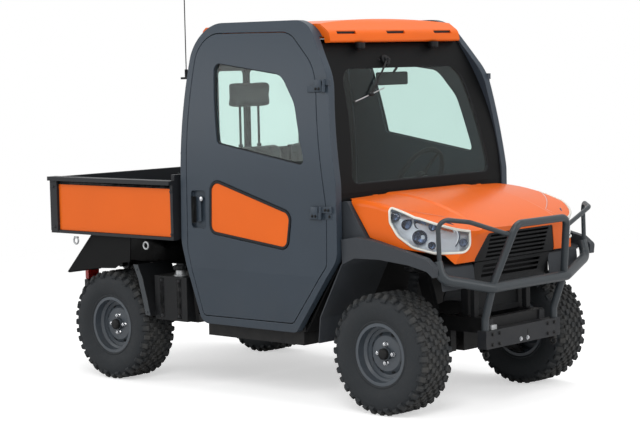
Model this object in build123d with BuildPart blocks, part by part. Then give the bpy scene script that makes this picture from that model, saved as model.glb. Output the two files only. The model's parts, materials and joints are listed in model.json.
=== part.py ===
"""Side-by-side utility vehicle with an enclosed two-seat cab and a tipping cargo bed.

Frame: +X forward, +Y left, +Z up, millimetres. The origin is on the ground in the middle of the
vehicle. Every sub-part is one BuildPart, written to parts/ as one STEP file.
"""

import os
from math import hypot, sqrt

from build123d import *

# ---------------------------------------------------------------- driving dimensions
front_axle_x = 980.0
wheelbase = 2040.0
front_track = 1200.0
rear_track = 1230.0
tyre_diameter = 635.0
tyre_width = 254.0
rim_diameter = 305.0
lugs_per_row = 22
lug_length = 46.0

seat_gap = 0.3  # parts that seat on a curved or mating face stand this far off it

# cab skin: half widths of the side, seen from the front
sill_half_width = 715.0
belt_half_width = 742.0
sill_z, lower_belt_z, upper_belt_z, skin_top_z = 380.0, 700.0, 1200.0, 2060.0
tumblehome_radius = 2600.0
side_thickness = 45.0
door_thickness = 34.0
roof_rail_width = 40.6
roof_rail_z = 1960.0
door_gap = 5.0
glass_thickness = 5.0

floor_z, floor_thickness = 425.0, 30.0
rear_wall_x, rear_wall_thickness = -400.0, 30.0
firewall_x, firewall_thickness = 700.0, 12.0
firewall_front_x = firewall_x + firewall_thickness

# frame
rail_half_gap, rail_width, rail_height = 207.0, 45.0, 80.0
rail_rear_x, rail_front_x = -1440.0, 1330.0
rear_rail_z, middle_rail_z, front_rail_z = 470.0, 310.0, 400.0

# steering: the strut axis runs through the lower ball joint and the top mount
ball_joint_y, ball_joint_z = 505.0, 205.0
strut_top_y, strut_top_z = 405.0, 720.0
spindle_radius = 15.0
bearing_gap = 0.3

# cargo bed
bed_rear_x, bed_front_x = -1505.0, -454.0
bed_half_width = 762.0
bed_floor_z, bed_floor_thickness = 870.0, 20.0
bed_side_top_z, bed_head_top_z = 1165.0, 1215.0
bed_wall = 25.0
bed_rail_size = 36.0
tailgate_thickness = 25.0
bed_sill_height, bed_sill_half_gap, bed_sill_width = 60.0, 268.0, 40.0
tilt_pivot_x, tilt_pivot_z, tilt_pin_radius = -1400.0, 620.0, 18.0

# dump cylinder, on the centre line
barrel_pin_x, barrel_pin_z = -1180.0, 560.0
rod_pin_x, rod_pin_z = -860.0, 800.0
barrel_radius, rod_radius = 32.0, 16.0
barrel_pin_radius, cylinder_neck_radius = 10.0, 16.0

# hood
hood_rear_x, hood_front_x = 746.0, 1385.0
hood_hinge_x, hood_hinge_z, hood_hinge_y = 739.5, 1114.0, 450.0
hood_hinge_radius, hood_hinge_length = 5.0, 40.0
hood_half_width = 655.0
hood_thickness = 8.0
hood_rear_z, hood_nose_z = 1126.0, 955.0
hood_crown_radius = 1326.7  # of the hood top, seen from the side

# front guard
guard_main_radius, guard_post_radius, guard_hoop_radius = 27.0, 20.0, 12.0

# derived
rear_axle_x = front_axle_x - wheelbase
tyre_radius = tyre_diameter / 2
rim_radius = rim_diameter / 2
front_wheel_y, rear_wheel_y = front_track / 2, rear_track / 2

pieces = {}  # node name: BuildPart
os.makedirs("parts", exist_ok=True)


# ---------------------------------------------------------------- shared outlines
def rounded(corners):
    """Closed outline with rounded corners; rows are (across, up, corner radius)."""
    with BuildSketch(Plane.XY) as shape:
        with BuildLine():
            FilletPolyline(
                *[(across, up) for across, up, _ in corners],
                radius=[radius for _, _, radius in corners],
                close=True,
            )
        make_face()
    return shape.sketch


def angular(corners):
    """Closed outline with sharp corners; rows are (across, up)."""
    with BuildSketch(Plane.XY) as shape:
        with BuildLine():
            Polyline(*corners, close=True)
        make_face()
    return shape.sketch


def skin_half_width(z, depth=0.0):
    """Half width of the cab above the upper belt line, this far inside the skin."""
    radius = tumblehome_radius - depth
    return belt_half_width - tumblehome_radius + sqrt(radius**2 - (z - upper_belt_z) ** 2)


roof_rail_half_width = skin_half_width(skin_top_z) - roof_rail_width
inside_y = roof_rail_half_width - 55  # inside the thickest part of a cab side
outside_y = max(belt_half_width, hood_half_width, bed_half_width) + 60  # beyond every side, for cuts


def skin_line(depth, top):
    """Left edge of the cab in the current line, seen from the front, at this depth in the skin."""
    middle = (upper_belt_z + top) / 2
    Line((sill_half_width - depth, sill_z), (belt_half_width - depth, lower_belt_z))
    Line((belt_half_width - depth, lower_belt_z), (belt_half_width - depth, upper_belt_z))
    ThreePointArc(
        (belt_half_width - depth, upper_belt_z),
        (skin_half_width(middle, depth), middle),
        (skin_half_width(top, depth), top),
    )


def skin_band(outer_depth, inner_depth, top=skin_top_z):
    """Band of the left skin between two depths, longer than the cab."""
    with BuildPart() as band:
        with BuildSketch(Plane.YZ.offset(-600)):
            with BuildLine():
                skin_line(outer_depth, top)
                skin_line(inner_depth, top)
                Line((skin_half_width(top, outer_depth), top), (skin_half_width(top, inner_depth), top))
                Line((sill_half_width - outer_depth, sill_z), (sill_half_width - inner_depth, sill_z))
            make_face()
        extrude(amount=1600)
    return band.part


def cab_interior(gap):
    """Everything between the two cab sides, this far clear of them."""
    with BuildPart() as inside:
        with BuildSketch(Plane.YZ.offset(-600)):
            with BuildLine():
                skin_line(side_thickness + gap, roof_rail_z)
                edge = skin_half_width(roof_rail_z, side_thickness + gap)
                Polyline(
                    (edge, roof_rail_z), (0, roof_rail_z), (0, sill_z),
                    (sill_half_width - side_thickness - gap, sill_z),
                )
            make_face()
            mirror(about=Plane.YZ)
        extrude(amount=1600)
    return inside.part


def side_prism(shape, start, end):
    """Shape seen from the right, (x, z), carried across from Y start to Y end."""
    with BuildPart() as prism:
        with BuildSketch(Plane.XZ.offset(-start)):
            add(shape)
        extrude(amount=-(end - start))
    return prism.part


def front_prism(shape, start, end):
    """Shape seen from the front, (y, z), carried along from X start to X end."""
    with BuildPart() as prism:
        with BuildSketch(Plane.YZ.offset(start)):
            add(shape)
        extrude(amount=end - start)
    return prism.part


def plan_prism(shape, start, end):
    """Shape seen from above, (x, y), carried up from Z start to Z end."""
    with BuildPart() as prism:
        with BuildSketch(Plane.XY.offset(start)):
            add(shape)
        extrude(amount=end - start)
    return prism.part


def block(x_span, y_span, z_span):
    """Box between two planes along each axis."""
    spans = (x_span, y_span, z_span)
    with BuildPart() as box:
        with Locations(tuple(sum(span) / 2 for span in spans)):
            Box(*[abs(span[1] - span[0]) for span in spans])
    return box.part


def bent_tube(points, radii, tube_radius):
    """Round bar along straight runs joined by arcs."""
    with BuildPart() as bar:
        with BuildLine() as path:
            FilletPolyline(*points, radius=radii)
        with BuildSketch(Plane(origin=path.line @ 0, z_dir=path.line % 0)):
            Circle(tube_radius)
        sweep(path=path.line)
    return bar.part


def rod(start, end, radius, bore=0.0):
    """Straight round bar, or pipe, between two points."""
    run = Vector(*end) - Vector(*start)
    with BuildPart() as bar:
        with BuildSketch(Plane(origin=start, z_dir=run)):
            Circle(radius)
            if bore:
                Circle(bore, mode=Mode.SUBTRACT)
        extrude(amount=run.length)
    return bar.part


# ---------------------------------------------------------------- wheels
tyre_section = [  # (from the middle of the tread, radius), outer half
    (tyre_width / 2 - 33, rim_radius + seat_gap),
    (tyre_width / 2 - 33.5, rim_radius + 16),
    (tyre_width / 2 - 20, rim_radius + 24),
    (tyre_width / 2 - 2, rim_radius + 74),
    (tyre_width / 2 - 6, tyre_radius - 40),
    (tyre_width / 2 - 26, tyre_radius - 17),
]
lug_section = [  # (from the middle of the tread, radius), one row of lugs
    (7, tyre_radius - 24),
    (7, tyre_radius),
    (tyre_width / 2 - 28, tyre_radius - 3),
    (tyre_width / 2 - 6, tyre_radius - 16),
    (tyre_width / 2, tyre_radius - 52),
    (tyre_width / 2 - 12, tyre_radius - 56),
]
rim_section = [  # (outwards from the middle of the wheel, radius)
    (-100, 164), (-94, 166), (-94, 152.4), (-52, 152.4), (-42, 138), (40, 138), (50, 152.4),
    (94, 152.4), (94, 166), (100, 164), (100, 147), (56, 146), (46, 132), (34, 130), (32, 112),
    (46, 92), (46, 35), (38, 35), (38, 88), (22, 106), (22, 132), (-46, 132), (-58, 146), (-100, 147),
]
hub_radius, hub_length, hub_outer = 34.0, 78.0, 62.0
hub_flange_radius, disc_back = 64.0, 38.0
bearing_radius = spindle_radius + bearing_gap
wheel_nut_circle, wheel_nuts, wheel_nut_radius = 50.0, 4, 9.0


with BuildPart() as lug_blocks:
    for row, lead, lean in ((1, 0, 18), (-1, 180 / lugs_per_row, -18)):  # side, start angle, slant
        for index in range(lugs_per_row):
            turn = Rotation(0, lead + index * 360 / lugs_per_row, 0)
            seat = Pos(0, row * tyre_width / 4, tyre_radius - 40)
            with Locations(turn * seat * Rotation(0, 0, lean)):
                Box(lug_length, tyre_width / 2 + 30, 100)
with BuildPart() as lugs:
    for row in (1, -1):
        with BuildSketch(Plane.YZ):
            add(angular([(row * across, radius) for across, radius in lug_section]))
        revolve(axis=Axis.Y)
    add(lug_blocks.part, mode=Mode.INTERSECT)
with BuildPart() as wheel_tyre:
    with BuildSketch(Plane.YZ):
        add(angular(tyre_section + [(-across, radius) for across, radius in reversed(tyre_section)]))
    revolve(axis=Axis.Y)
    add(lugs.part)
with BuildPart() as wheel_rim:
    with BuildSketch(Plane.YZ):
        add(angular(rim_section))
    revolve(axis=Axis.Y)
    add(rod((0, hub_outer - hub_length, 0), (0, hub_outer - 8, 0), hub_radius, bearing_radius))
    add(rod((0, disc_back - 12, 0), (0, disc_back, 0), hub_flange_radius, bearing_radius))
    add(rod((0, hub_outer - 8, 0), (0, hub_outer, 0), hub_radius))
    with BuildSketch(Plane.XZ.offset(-disc_back - 8)):
        with PolarLocations(wheel_nut_circle, wheel_nuts):
            RegularPolygon(wheel_nut_radius, 6)
    extrude(amount=-12)

wheel_places = {  # corner: (axle x, wheel centre y)
    "left_front": (front_axle_x, front_wheel_y),
    "right_front": (front_axle_x, -front_wheel_y),
    "left_rear": (rear_axle_x, rear_wheel_y),
    "right_rear": (rear_axle_x, -rear_wheel_y),
}
for corner, (axle_x, wheel_y) in wheel_places.items():
    seat = Pos(axle_x, wheel_y, tyre_radius)
    outwards = Rotation(0, 0, 0 if wheel_y > 0 else 180)
    with BuildPart() as tyre:
        add(seat * outwards * wheel_tyre.part)
    with BuildPart() as rim:
        add(seat * outwards * wheel_rim.part)
    pieces[f"{corner}_tyre"] = tyre
    pieces[f"{corner}_rim"] = rim


# ---------------------------------------------------------------- frame
def both_sides(part):
    """Add this left-hand part and its mirror image to the current part."""
    add(part)
    mirror(part, about=Plane.XZ)


def rounded_block(x_span, y_span, z_span, radius):
    """Box with every edge rounded."""
    with BuildPart() as box:
        add(block(x_span, y_span, z_span))
        fillet(box.edges(), radius)
    return box.part


def band(rows, shift, radius):
    """Outline of a bent strip: rows of (x, z), its other edge moved by shift."""
    lower = [(x, z, radius) for x, z in rows]
    lower[0], lower[-1] = (*rows[0], 0), (*rows[-1], 0)
    upper = [(x + shift[0], z + shift[1], r) for x, z, r in reversed(lower)]
    return rounded(lower + upper)


rail_bends = [  # (x, underside z) along one rail
    (rail_rear_x, rear_rail_z), (-640, rear_rail_z), (-430, middle_rail_z),
    (490, middle_rail_z), (700, front_rail_z), (rail_front_x, front_rail_z),
]
rail_outer = rail_half_gap + rail_width
with BuildPart() as frame_rails:
    both_sides(side_prism(band(rail_bends, (0, rail_height), 60), rail_half_gap, rail_outer))

crossmember_rows = [  # (rear x, front x, underside z, top z)
    (rail_rear_x, rail_rear_x + 50, rear_rail_z, rear_rail_z + rail_height),
    (barrel_pin_x - 30, barrel_pin_x + 30, rear_rail_z, rear_rail_z + 50),
    (rear_axle_x - 20, rear_axle_x + 60, rear_rail_z, rear_rail_z + 50),
    (-340, -290, middle_rail_z, middle_rail_z + rail_height),
    (380, 430, middle_rail_z, middle_rail_z + rail_height),
    (front_axle_x - 40, front_axle_x + 40, front_rail_z, front_rail_z + 50),
    (rail_front_x - 40, rail_front_x, front_rail_z, front_rail_z + rail_height),
]
with BuildPart() as crossmembers:
    for rear, front, low, high in crossmember_rows:
        add(block((rear, front), (-rail_half_gap, rail_half_gap), (low, high)))

rear_rail_top = rear_rail_z + rail_height
bed_sill_z = bed_floor_z - bed_floor_thickness - bed_sill_height
sill_outer = bed_sill_half_gap + bed_sill_width
rear_shock_y, rear_shock_top_z = 360.0, 690.0
strut_top = (front_axle_x, strut_top_y, strut_top_z)
strut_run = Vector(0, strut_top_y - ball_joint_y, strut_top_z - ball_joint_z)
strut_length = strut_run.length
strut_way = strut_run.normalized()


def on_strut(distance):
    """Point on the left strut axis this far above the lower ball joint."""
    return Vector(front_axle_x, ball_joint_y, ball_joint_z) + strut_way * distance


with BuildPart() as frame_brackets:
    # tilt pivot across the rear end of both rails
    add(rod((tilt_pivot_x, -330, tilt_pivot_z), (tilt_pivot_x, 330, tilt_pivot_z), tilt_pin_radius))
    stand = block((tilt_pivot_x - 30, tilt_pivot_x + 30), (212, 247), (rear_rail_top, tilt_pivot_z + 28))
    both_sides(stand)
    # rests under the front of the bed
    rest_top = bed_sill_z - 0.5
    both_sides(
        block((-700, -640), (222, 247), (rear_rail_top, rest_top))
        + block((-700, -640), (222, sill_outer - 5), (rest_top - 12, rest_top))
    )
    # foot of the dump cylinder
    foot_z = rear_rail_z + 50
    ear = rounded([
        (barrel_pin_x - 28, foot_z, 0), (barrel_pin_x + 28, foot_z, 0),
        (barrel_pin_x + 22, barrel_pin_z + 20, 18), (barrel_pin_x - 22, barrel_pin_z + 20, 18),
    ])
    both_sides(side_prism(ear, cylinder_neck_radius + 4, cylinder_neck_radius + 14))
    pin_end = cylinder_neck_radius + 9
    add(rod((barrel_pin_x, -pin_end, barrel_pin_z), (barrel_pin_x, pin_end, barrel_pin_z), barrel_pin_radius))
    # towers over the rear shocks
    tower_x = (rear_axle_x - 35, rear_axle_x + 35)
    both_sides(
        block(tower_x, (rail_outer, rail_outer + 10), (rear_rail_z + 10, rear_shock_top_z + 15))
        + block(tower_x, (rail_outer, rear_shock_y + 32), (rear_shock_top_z, rear_shock_top_z + 15))
    )
    # towers over the front struts
    gusset = [  # (y, z)
        (rail_outer, 430), (rail_outer, 520), (335, 750), (450, 750), (450, 735), (365, 735), (345, 700),
    ]
    both_sides(
        front_prism(angular(gusset), front_axle_x - 35, front_axle_x + 35)
        + rod(strut_top, on_strut(strut_length + 14), 52)
    )

engine_x, engine_half_width, engine_z = (-800.0, -440.0), 195.0, (350.0, 740.0)
with BuildPart() as engine:
    add(block(engine_x, (-engine_half_width, engine_half_width), engine_z))
    fillet(engine.edges(), 18)
    both_sides(block((-770, -700), (engine_half_width - 5, rail_half_gap), (480, 530)))

rear_axle_steps = [  # (inner y, outer y, radius): tube, brake drum, spindle
    (110, rear_wheel_y - 90, 38),
    (rear_wheel_y - 95, rear_wheel_y - 55, 72),
    (rear_wheel_y - 60, rear_wheel_y + 52, spindle_radius),
]
with BuildPart() as rear_axle:
    add(block((rear_axle_x - 100, rear_axle_x + 110), (-120, 120), (268, rear_rail_z)))
    for start, end, radius in rear_axle_steps:
        both_sides(rod((rear_axle_x, start, tyre_radius), (rear_axle_x, end, tyre_radius), radius))
    seat_y = (rear_shock_y - 30, rear_shock_y + 30)
    both_sides(block((rear_axle_x - 30, rear_axle_x + 30), seat_y, (330, 362)))


def bellows(start, way, length, large, small, folds):
    """Corrugated sleeve along a straight axis."""
    step = length / (2 * folds)
    edge = [(large if index % 2 else small, index * step) for index in range(2 * folds + 1)]
    with BuildPart() as sleeve:
        with BuildSketch(Plane.XZ):
            add(angular([(0, 0), *edge, (0, length)]))
        revolve(axis=Axis.Z)
    return Plane(origin=start, z_dir=way) * sleeve.part


strut_radius, strut_rod_radius = 22.0, 11.0
with BuildPart() as shock_absorbers:
    foot, head = (rear_axle_x, rear_shock_y, 362), (rear_axle_x, rear_shock_y, rear_shock_top_z)
    both_sides(
        rod(foot, head, 14) + bellows((rear_axle_x, rear_shock_y, 400), (0, 0, 1), 250, 38, 30, 6)
    )
    both_sides(
        rod(on_strut(260), on_strut(strut_length), strut_rod_radius)
        + bellows(on_strut(338), strut_way, strut_length - 338 - 8, 28, 22, 6)
    )

with BuildPart() as front_axle:
    add(block((front_axle_x - 75, front_axle_x + 75), (-90, 90), (268, front_rail_z)))
    both_sides(
        rod((front_axle_x, 80, tyre_radius), (front_axle_x, 450, tyre_radius), 13)
        + rod((front_axle_x, 385, tyre_radius), (front_axle_x, 440, tyre_radius), 34)
        + rod((front_axle_x, 80, tyre_radius), (front_axle_x, 130, tyre_radius), 38)
    )

arm_pivot_y, arm_pivot_z, arm_spread = 230.0, 300.0, 100.0
with BuildPart() as front_arms:
    boss = on_strut(0)
    ball_cup = (front_axle_x, ball_joint_y, ball_joint_z - 22)
    left_arms = rod(ball_cup, (front_axle_x, ball_joint_y, ball_joint_z), 24)
    left_arms += rod(boss - strut_way * 5, on_strut(24.7), 9)
    for lead in (-1, 1):
        pivot = (front_axle_x + lead * arm_spread, arm_pivot_y, arm_pivot_z)
        left_arms += rod(pivot, (front_axle_x + lead * 8, ball_joint_y - 6, ball_joint_z - 11), 13)
        left_arms += block(
            (pivot[0] - 14, pivot[0] + 14), (rail_half_gap, rail_outer), (arm_pivot_z - 15, front_rail_z)
        )
    both_sides(left_arms)

with BuildPart() as left_knuckle:
    with BuildSketch(Plane(origin=on_strut(25), z_dir=strut_way)):
        Circle(strut_radius)
    extrude(amount=305)
    add(block((front_axle_x - 30, front_axle_x + 30), (470, 545), (250, 390)))
    spindle_end = (front_axle_x, front_wheel_y + 52, tyre_radius)
    add(rod((front_axle_x, 540, tyre_radius), spindle_end, spindle_radius))
    with BuildSketch(Plane(origin=on_strut(245), z_dir=strut_way)):
        Circle(strut_rod_radius + bearing_gap)
    extrude(amount=100, mode=Mode.SUBTRACT)
with BuildPart() as right_knuckle:
    mirror(left_knuckle.part, about=Plane.XZ)

receiver_size, receiver_bore, hitch_pin_radius = 63.5, 51.0, 8.0
hitch_pin_x = -1460.0
with BuildPart() as hitch_receiver:
    half, bore_half = receiver_size / 2, receiver_bore / 2
    middle = rear_rail_z - half
    add(block((-1500, -1330), (-half, half), (middle - half, middle + half)))
    add(
        block((-1501, -1350), (-bore_half, bore_half), (middle - bore_half, middle + bore_half)),
        mode=Mode.SUBTRACT,
    )
    pin_hole = rod((hitch_pin_x, -half - 1, middle), (hitch_pin_x, half + 1, middle), hitch_pin_radius)
    add(pin_hole, mode=Mode.SUBTRACT)

with BuildPart() as rear_bumper:
    add(block((rail_rear_x - 30, rail_rear_x), (-560, 560), (490, 545)))
with BuildPart() as tail_lamps:
    both_sides(rounded_block((rail_rear_x - 36, rail_rear_x - 6), (460, 550), (545, 605), 6))

bumper_back_x, bumper_front_x, bumper_half_width = rail_front_x, 1387.0, 328.0
bumper_z = (330.0, 425.0)
with BuildPart() as front_bumper:
    add(block((bumper_back_x, bumper_front_x), (-bumper_half_width, bumper_half_width), bumper_z))
    add(
        block(
            (bumper_back_x - 1, bumper_front_x - 6),
            (-bumper_half_width + 6, bumper_half_width - 6),
            (bumper_z[0] + 6, bumper_z[1] - 6),
        ),
        mode=Mode.SUBTRACT,
    )
    plate_x = (bumper_back_x, bumper_back_x + 10)
    both_sides(block(plate_x, (rail_half_gap, rail_outer), (bumper_z[0] + 3, 475)))
    for side in (-1, 1):
        hole = rod((bumper_front_x - 10, side * 30, 352), (bumper_front_x + 1, side * 30, 352), 6.5)
        add(hole, mode=Mode.SUBTRACT)

guard_top_x = 1510.0
with BuildPart() as front_guard:
    main_half = [(1322, 640, 812), (1345, 640, 725), (1432, 330, 655)]
    main_bar = main_half + [(x, -y, z) for x, y, z in reversed(main_half)]
    add(bent_tube(main_bar, 60, guard_main_radius))
    post_half = [(1362, 304, bumper_z[1]), (1362, 304, 480), (1425, 316, 670), (guard_top_x, 224, 979)]
    posts = post_half + [(x, -y, z) for x, y, z in reversed(post_half)]
    add(bent_tube(posts, [40, 80, 60, 60, 80, 40], guard_post_radius))
    hoop = [(1337, 640, 740), (1330, 641, 1028), (1446, 532, 1010), (guard_top_x - 27, 254, 926)]
    both_sides(bent_tube(hoop, [50, 60], guard_hoop_radius))


# ---------------------------------------------------------------- cab
door_opening_outline = [  # (x, z, corner radius)
    (-365, 1998, 150), (325, 1992, 180), (560, 1790, 300), (674, 1050, 500),
    (666, 760, 45), (398, 434, 45), (-285, 430, 30), (-378, 800, 120),
]
cab_side_outline = [
    (-402, 2052, 200), (440, 2052, 190), (655, 1740, 300), (738, 1200, 300),
    (738, 800, 120), (412, 388, 40), (-300, 388, 60), (-425, 840, 200),
]
window_outline = [(-212, 1835, 35), (310, 1765, 130), (430, 1610, 200), (522, 1283, 25), (-132, 1393, 25)]
insert_outline = [(-180, 1198, 55), (415, 1028, 50), (385, 838, 45), (-190, 905, 45)]
insert_depth, insert_border = 7.0, 11.0
hinge_x, hinge_low_z, hinge_high_z = 640.0, 1040.0, 1704.0
hinge_low = (belt_half_width + 14, hinge_low_z)  # (y, z) on the hinge axis, just proud of the skin
hinge_high = (skin_half_width(hinge_high_z) + 15.3, hinge_high_z)
hinge_radius, hinge_leaf_height = 9.0, 34.0


def inset(shape, amount):
    """Shape drawn in, or out, all round by an amount."""
    with BuildSketch(Plane.XY) as moved:
        add(shape)
        offset(amount=-amount)
    return moved.sketch


hinge_way = Vector(0, hinge_high[0] - hinge_low[0], hinge_high[1] - hinge_low[1]).normalized()


def hinge_axis(z):
    """Point on the left door's hinge axis at this height."""
    share = (z - hinge_low[1]) / (hinge_high[1] - hinge_low[1])
    return Vector(hinge_x, hinge_low[0] + share * (hinge_high[0] - hinge_low[0]), z)


hinges = [(hinge_low[1], 560.0, 715.0), (hinge_high[1], 520.0, 662.0)]  # (z, door end x, pillar end x)


def hinge_leaf(z, end_x, side):
    """Strap and barrel of one hinge; side -1 hangs under z, on the door, 1 stands over it."""
    low, high = sorted((z + side * 1.5, z + side * hinge_leaf_height))
    depth = hinge_axis(low).Y - 3
    strap = block(sorted((end_x, hinge_x)), (depth - 7, depth - 1), (low, high))
    foot = block(sorted((end_x, end_x - side * 30)), (depth - 26, depth - 4), (low, high))
    barrel = rod(hinge_axis(z + side * 0.25), hinge_axis(z + side * hinge_leaf_height), hinge_radius)
    return barrel + strap + foot


with BuildPart() as cab_sides:
    side_blank = skin_band(0, side_thickness) + (
        skin_band(0, 200) & block((-600, 1000), (roof_rail_half_width, outside_y), (roof_rail_z, skin_top_z))
    )
    ring_face = rounded(cab_side_outline) - rounded(door_opening_outline)
    left_side = side_prism(ring_face, inside_y, outside_y) & side_blank
    for z, _, pillar_x in hinges:
        left_side += hinge_leaf(z, pillar_x, 1)
    both_sides(left_side)

handle_outline = [(-339, 1131, 20), (-225, 1131, 20), (-225, 921, 20), (-339, 921, 20)]
with BuildPart() as left_door:
    door_face = inset(rounded(door_opening_outline), door_gap) - rounded(window_outline)
    add(side_prism(door_face, inside_y, outside_y) & skin_band(0, door_thickness))
    recess = inset(rounded(insert_outline), -insert_border)
    add(side_prism(recess, belt_half_width - insert_depth, outside_y), mode=Mode.SUBTRACT)
    add(side_prism(rounded(handle_outline), belt_half_width - 20, outside_y), mode=Mode.SUBTRACT)
    for foot_z in (960, 1070):
        add(block((-300, -266), (belt_half_width - 21, belt_half_width - 3), (foot_z, foot_z + 25)))
    add(block((-300, -266), (belt_half_width - 10, belt_half_width - 3), (960, 1095)))
    for z, door_x, _ in hinges:
        add(hinge_leaf(z, door_x, -1))
with BuildPart() as left_door_glass:
    pane = inset(rounded(window_outline), seat_gap)
    add(side_prism(pane, inside_y, outside_y) & skin_band(14, 14 + glass_thickness))
with BuildPart() as left_door_insert:
    add(side_prism(rounded(insert_outline), belt_half_width - insert_depth, belt_half_width - 1))
with BuildPart() as right_door:
    mirror(left_door.part, about=Plane.XZ)
with BuildPart() as right_door_glass:
    mirror(left_door_glass.part, about=Plane.XZ)
with BuildPart() as right_door_insert:
    mirror(left_door_insert.part, about=Plane.XZ)

interior = cab_interior(seat_gap)
floor_bottom_z = middle_rail_z + rail_height
wall_front_x = rear_wall_x + rear_wall_thickness
toe_x = 440.0
with BuildPart() as cab_floor:
    add(block((wall_front_x, toe_x), (-outside_y, outside_y), (floor_bottom_z, floor_z)) & interior)

rear_panes = [(-470.0, -245.0), (-215.0, 215.0), (245.0, 470.0)]  # (right y, left y)
rear_pane_z = (1330.0, 1790.0)


def pane_face(span):
    """One rear pane, seen from behind."""
    (right, left), (low, high) = span, rear_pane_z
    return rounded([(right, low, 30), (left, low, 30), (left, high, 30), (right, high, 30)])


with BuildPart() as cab_rear_wall:
    wall_z = (floor_bottom_z, roof_rail_z - 1)
    add(block((rear_wall_x, wall_front_x), (-outside_y, outside_y), wall_z) & interior)
    for span in rear_panes:
        add(front_prism(pane_face(span), rear_wall_x - 1, wall_front_x + 1), mode=Mode.SUBTRACT)

cowl_z, cowl_front_x = (1100.0, 1136.0), 729.0


def hood_hinge(hinge_y, side):
    """Half of one hood hinge; side -1 stands on the cowl, 1 hangs under the hood."""
    x, z = hood_hinge_x, hood_hinge_z
    start, end = sorted((hinge_y + side * 0.25, hinge_y + side * hood_hinge_length))
    reach = (cowl_front_x, x) if side < 0 else (x, hood_rear_x + 24)
    leaf = block(reach, (start, end), (z - hood_hinge_radius, z - 1))
    return rod((x, start, z), (x, end, z), hood_hinge_radius) + leaf


with BuildPart() as firewall:
    board = band(
        [
            (toe_x, floor_bottom_z), (toe_x, floor_bottom_z + 1), (firewall_x - 14, 735),
            (firewall_x, 800), (firewall_x, cowl_z[0] + 1),
        ],
        (firewall_thickness, 0),
        0,
    )
    cowl = block((firewall_x, cowl_front_x), (-outside_y, outside_y), cowl_z)
    add((side_prism(board, -outside_y, outside_y) + cowl) & interior)
    for hinge_y in (-hood_hinge_y, hood_hinge_y):
        add(hood_hinge(hinge_y, -1))

windshield_rows = [(700.0, 1136.0), (640.0, 1520.0), (482.0, 1925.0)]  # inner face: (x, z) low, middle, high


def windshield_band(back, front):
    """Curved band parallel to the windshield, between two distances ahead of its inner face."""
    with BuildSketch(Plane.XY) as strip:
        with BuildLine():
            low, middle, high = windshield_rows
            back_arc = ThreePointArc(*[(x + back, z) for x, z in (low, middle, high)])
            front_arc = ThreePointArc(*[(x + front, z) for x, z in (low, middle, high)])
            Line(back_arc @ 0, front_arc @ 0)
            Line(back_arc @ 1, front_arc @ 1)
        make_face()
    return side_prism(strip.sketch, -outside_y, outside_y)


windshield_opening = [(-600, 1182, 50), (600, 1182, 50), (505, 1792, 110), (-505, 1792, 110)]
with BuildPart() as windshield_frame:
    add(windshield_band(0, 30) & interior)
    add(front_prism(rounded(windshield_opening), 300, 900), mode=Mode.SUBTRACT)
with BuildPart() as cab_glass:
    pane = inset(rounded(windshield_opening), seat_gap)
    add(windshield_band(18, 18 + glass_thickness) & front_prism(pane, 300, 900))
    for span in rear_panes:
        pane = inset(pane_face(span), seat_gap)
        add(front_prism(pane, rear_wall_x + 12, rear_wall_x + 12 + glass_thickness))

roof_profile = [
    (-402, 1961, 0), (512, 1961, 6), (518, 1926, 6), (560, 1928, 12), (548, 1985, 50),
    (440, 2060, 140), (-330, 2066, 50), (-402, 2010, 20),
]
roof_slots, roof_slot_y, roof_slot_size = 3, 412.0, (155.0, 18.0)
with BuildPart() as roof:
    roof_half = roof_rail_half_width - seat_gap
    with BuildSketch(Plane.YZ.offset(-600)) as crown:
        with BuildLine():
            ThreePointArc((-roof_half, 2030), (0, 2056), (roof_half, 2030))
            Polyline((roof_half, 2030), (roof_half, 1900), (-roof_half, 1900), (-roof_half, 2030))
        make_face()
    extrude(amount=1600)
    add(side_prism(rounded(roof_profile), -outside_y, outside_y), mode=Mode.INTERSECT)
    add(block((-372, 480), (-520, 520), (1950, 2005)), mode=Mode.SUBTRACT)
    for index in range(roof_slots):
        middle = (index - (roof_slots - 1) / 2) * roof_slot_y
        half, high = roof_slot_size[0] / 2, roof_slot_size[1] / 2
        slot = block((536, 600), (middle - half, middle + half), (1980 - high, 1980 + high))
        add(slot, mode=Mode.SUBTRACT)

seat_top_z, seat_base_front_x = 760.0, 60.0
with BuildPart() as seat_base:
    add(block((wall_front_x, seat_base_front_x), (-600, 600), (floor_z, seat_top_z)))
seat_profile = [  # (x, z, corner radius)
    (-362, seat_top_z, 0), (130, seat_top_z, 30), (140, 880, 45), (-200, 862, 40), (-262, 1505, 45),
    (-350, 1500, 40),
]
headrest_z = (1575.0, 1725.0)
with BuildPart() as seats:
    left_seat = side_prism(rounded(seat_profile), 50, 540)
    left_seat += rounded_block((-345, -258), (145, 445), headrest_z, 25)
    for post_y in (220, 370):
        left_seat += rod((-304, post_y, 1480), (-304, post_y, 1600), 7)
    both_sides(left_seat)

wheel_centre = Vector(390, 380, 1150)
column_way = Vector(0.9063, 0, -0.4226)
steering_radius, steering_grip, dash_side_gap = 180.0, 14.0, 8.0
dash_profile = [  # (x, z, corner radius)
    (firewall_x, 1098, 0), (firewall_x, 860, 0), (610, 880, 40), (560, 1010, 30), (545, 1070, 30),
    (575, 1098, 20),
]
with BuildPart() as dashboard:
    add(side_prism(rounded(dash_profile), -outside_y, outside_y) & cab_interior(dash_side_gap))
    add(rod(wheel_centre + column_way * 26, wheel_centre + column_way * 240, 30))
with BuildPart() as steering_wheel:
    with Locations(Plane(origin=wheel_centre, z_dir=column_way)):
        Torus(steering_radius, steering_grip)
    add(rod(wheel_centre - column_way * 10, wheel_centre + column_way * 25.5, 38))
    for degree in (90, 210, 330):
        tip = Plane(origin=wheel_centre, z_dir=column_way).from_local_coords(
            Vector(steering_radius, 0, 0).rotate(Axis.Z, degree)
        )
        add(rod(wheel_centre, tip, 9))


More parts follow.
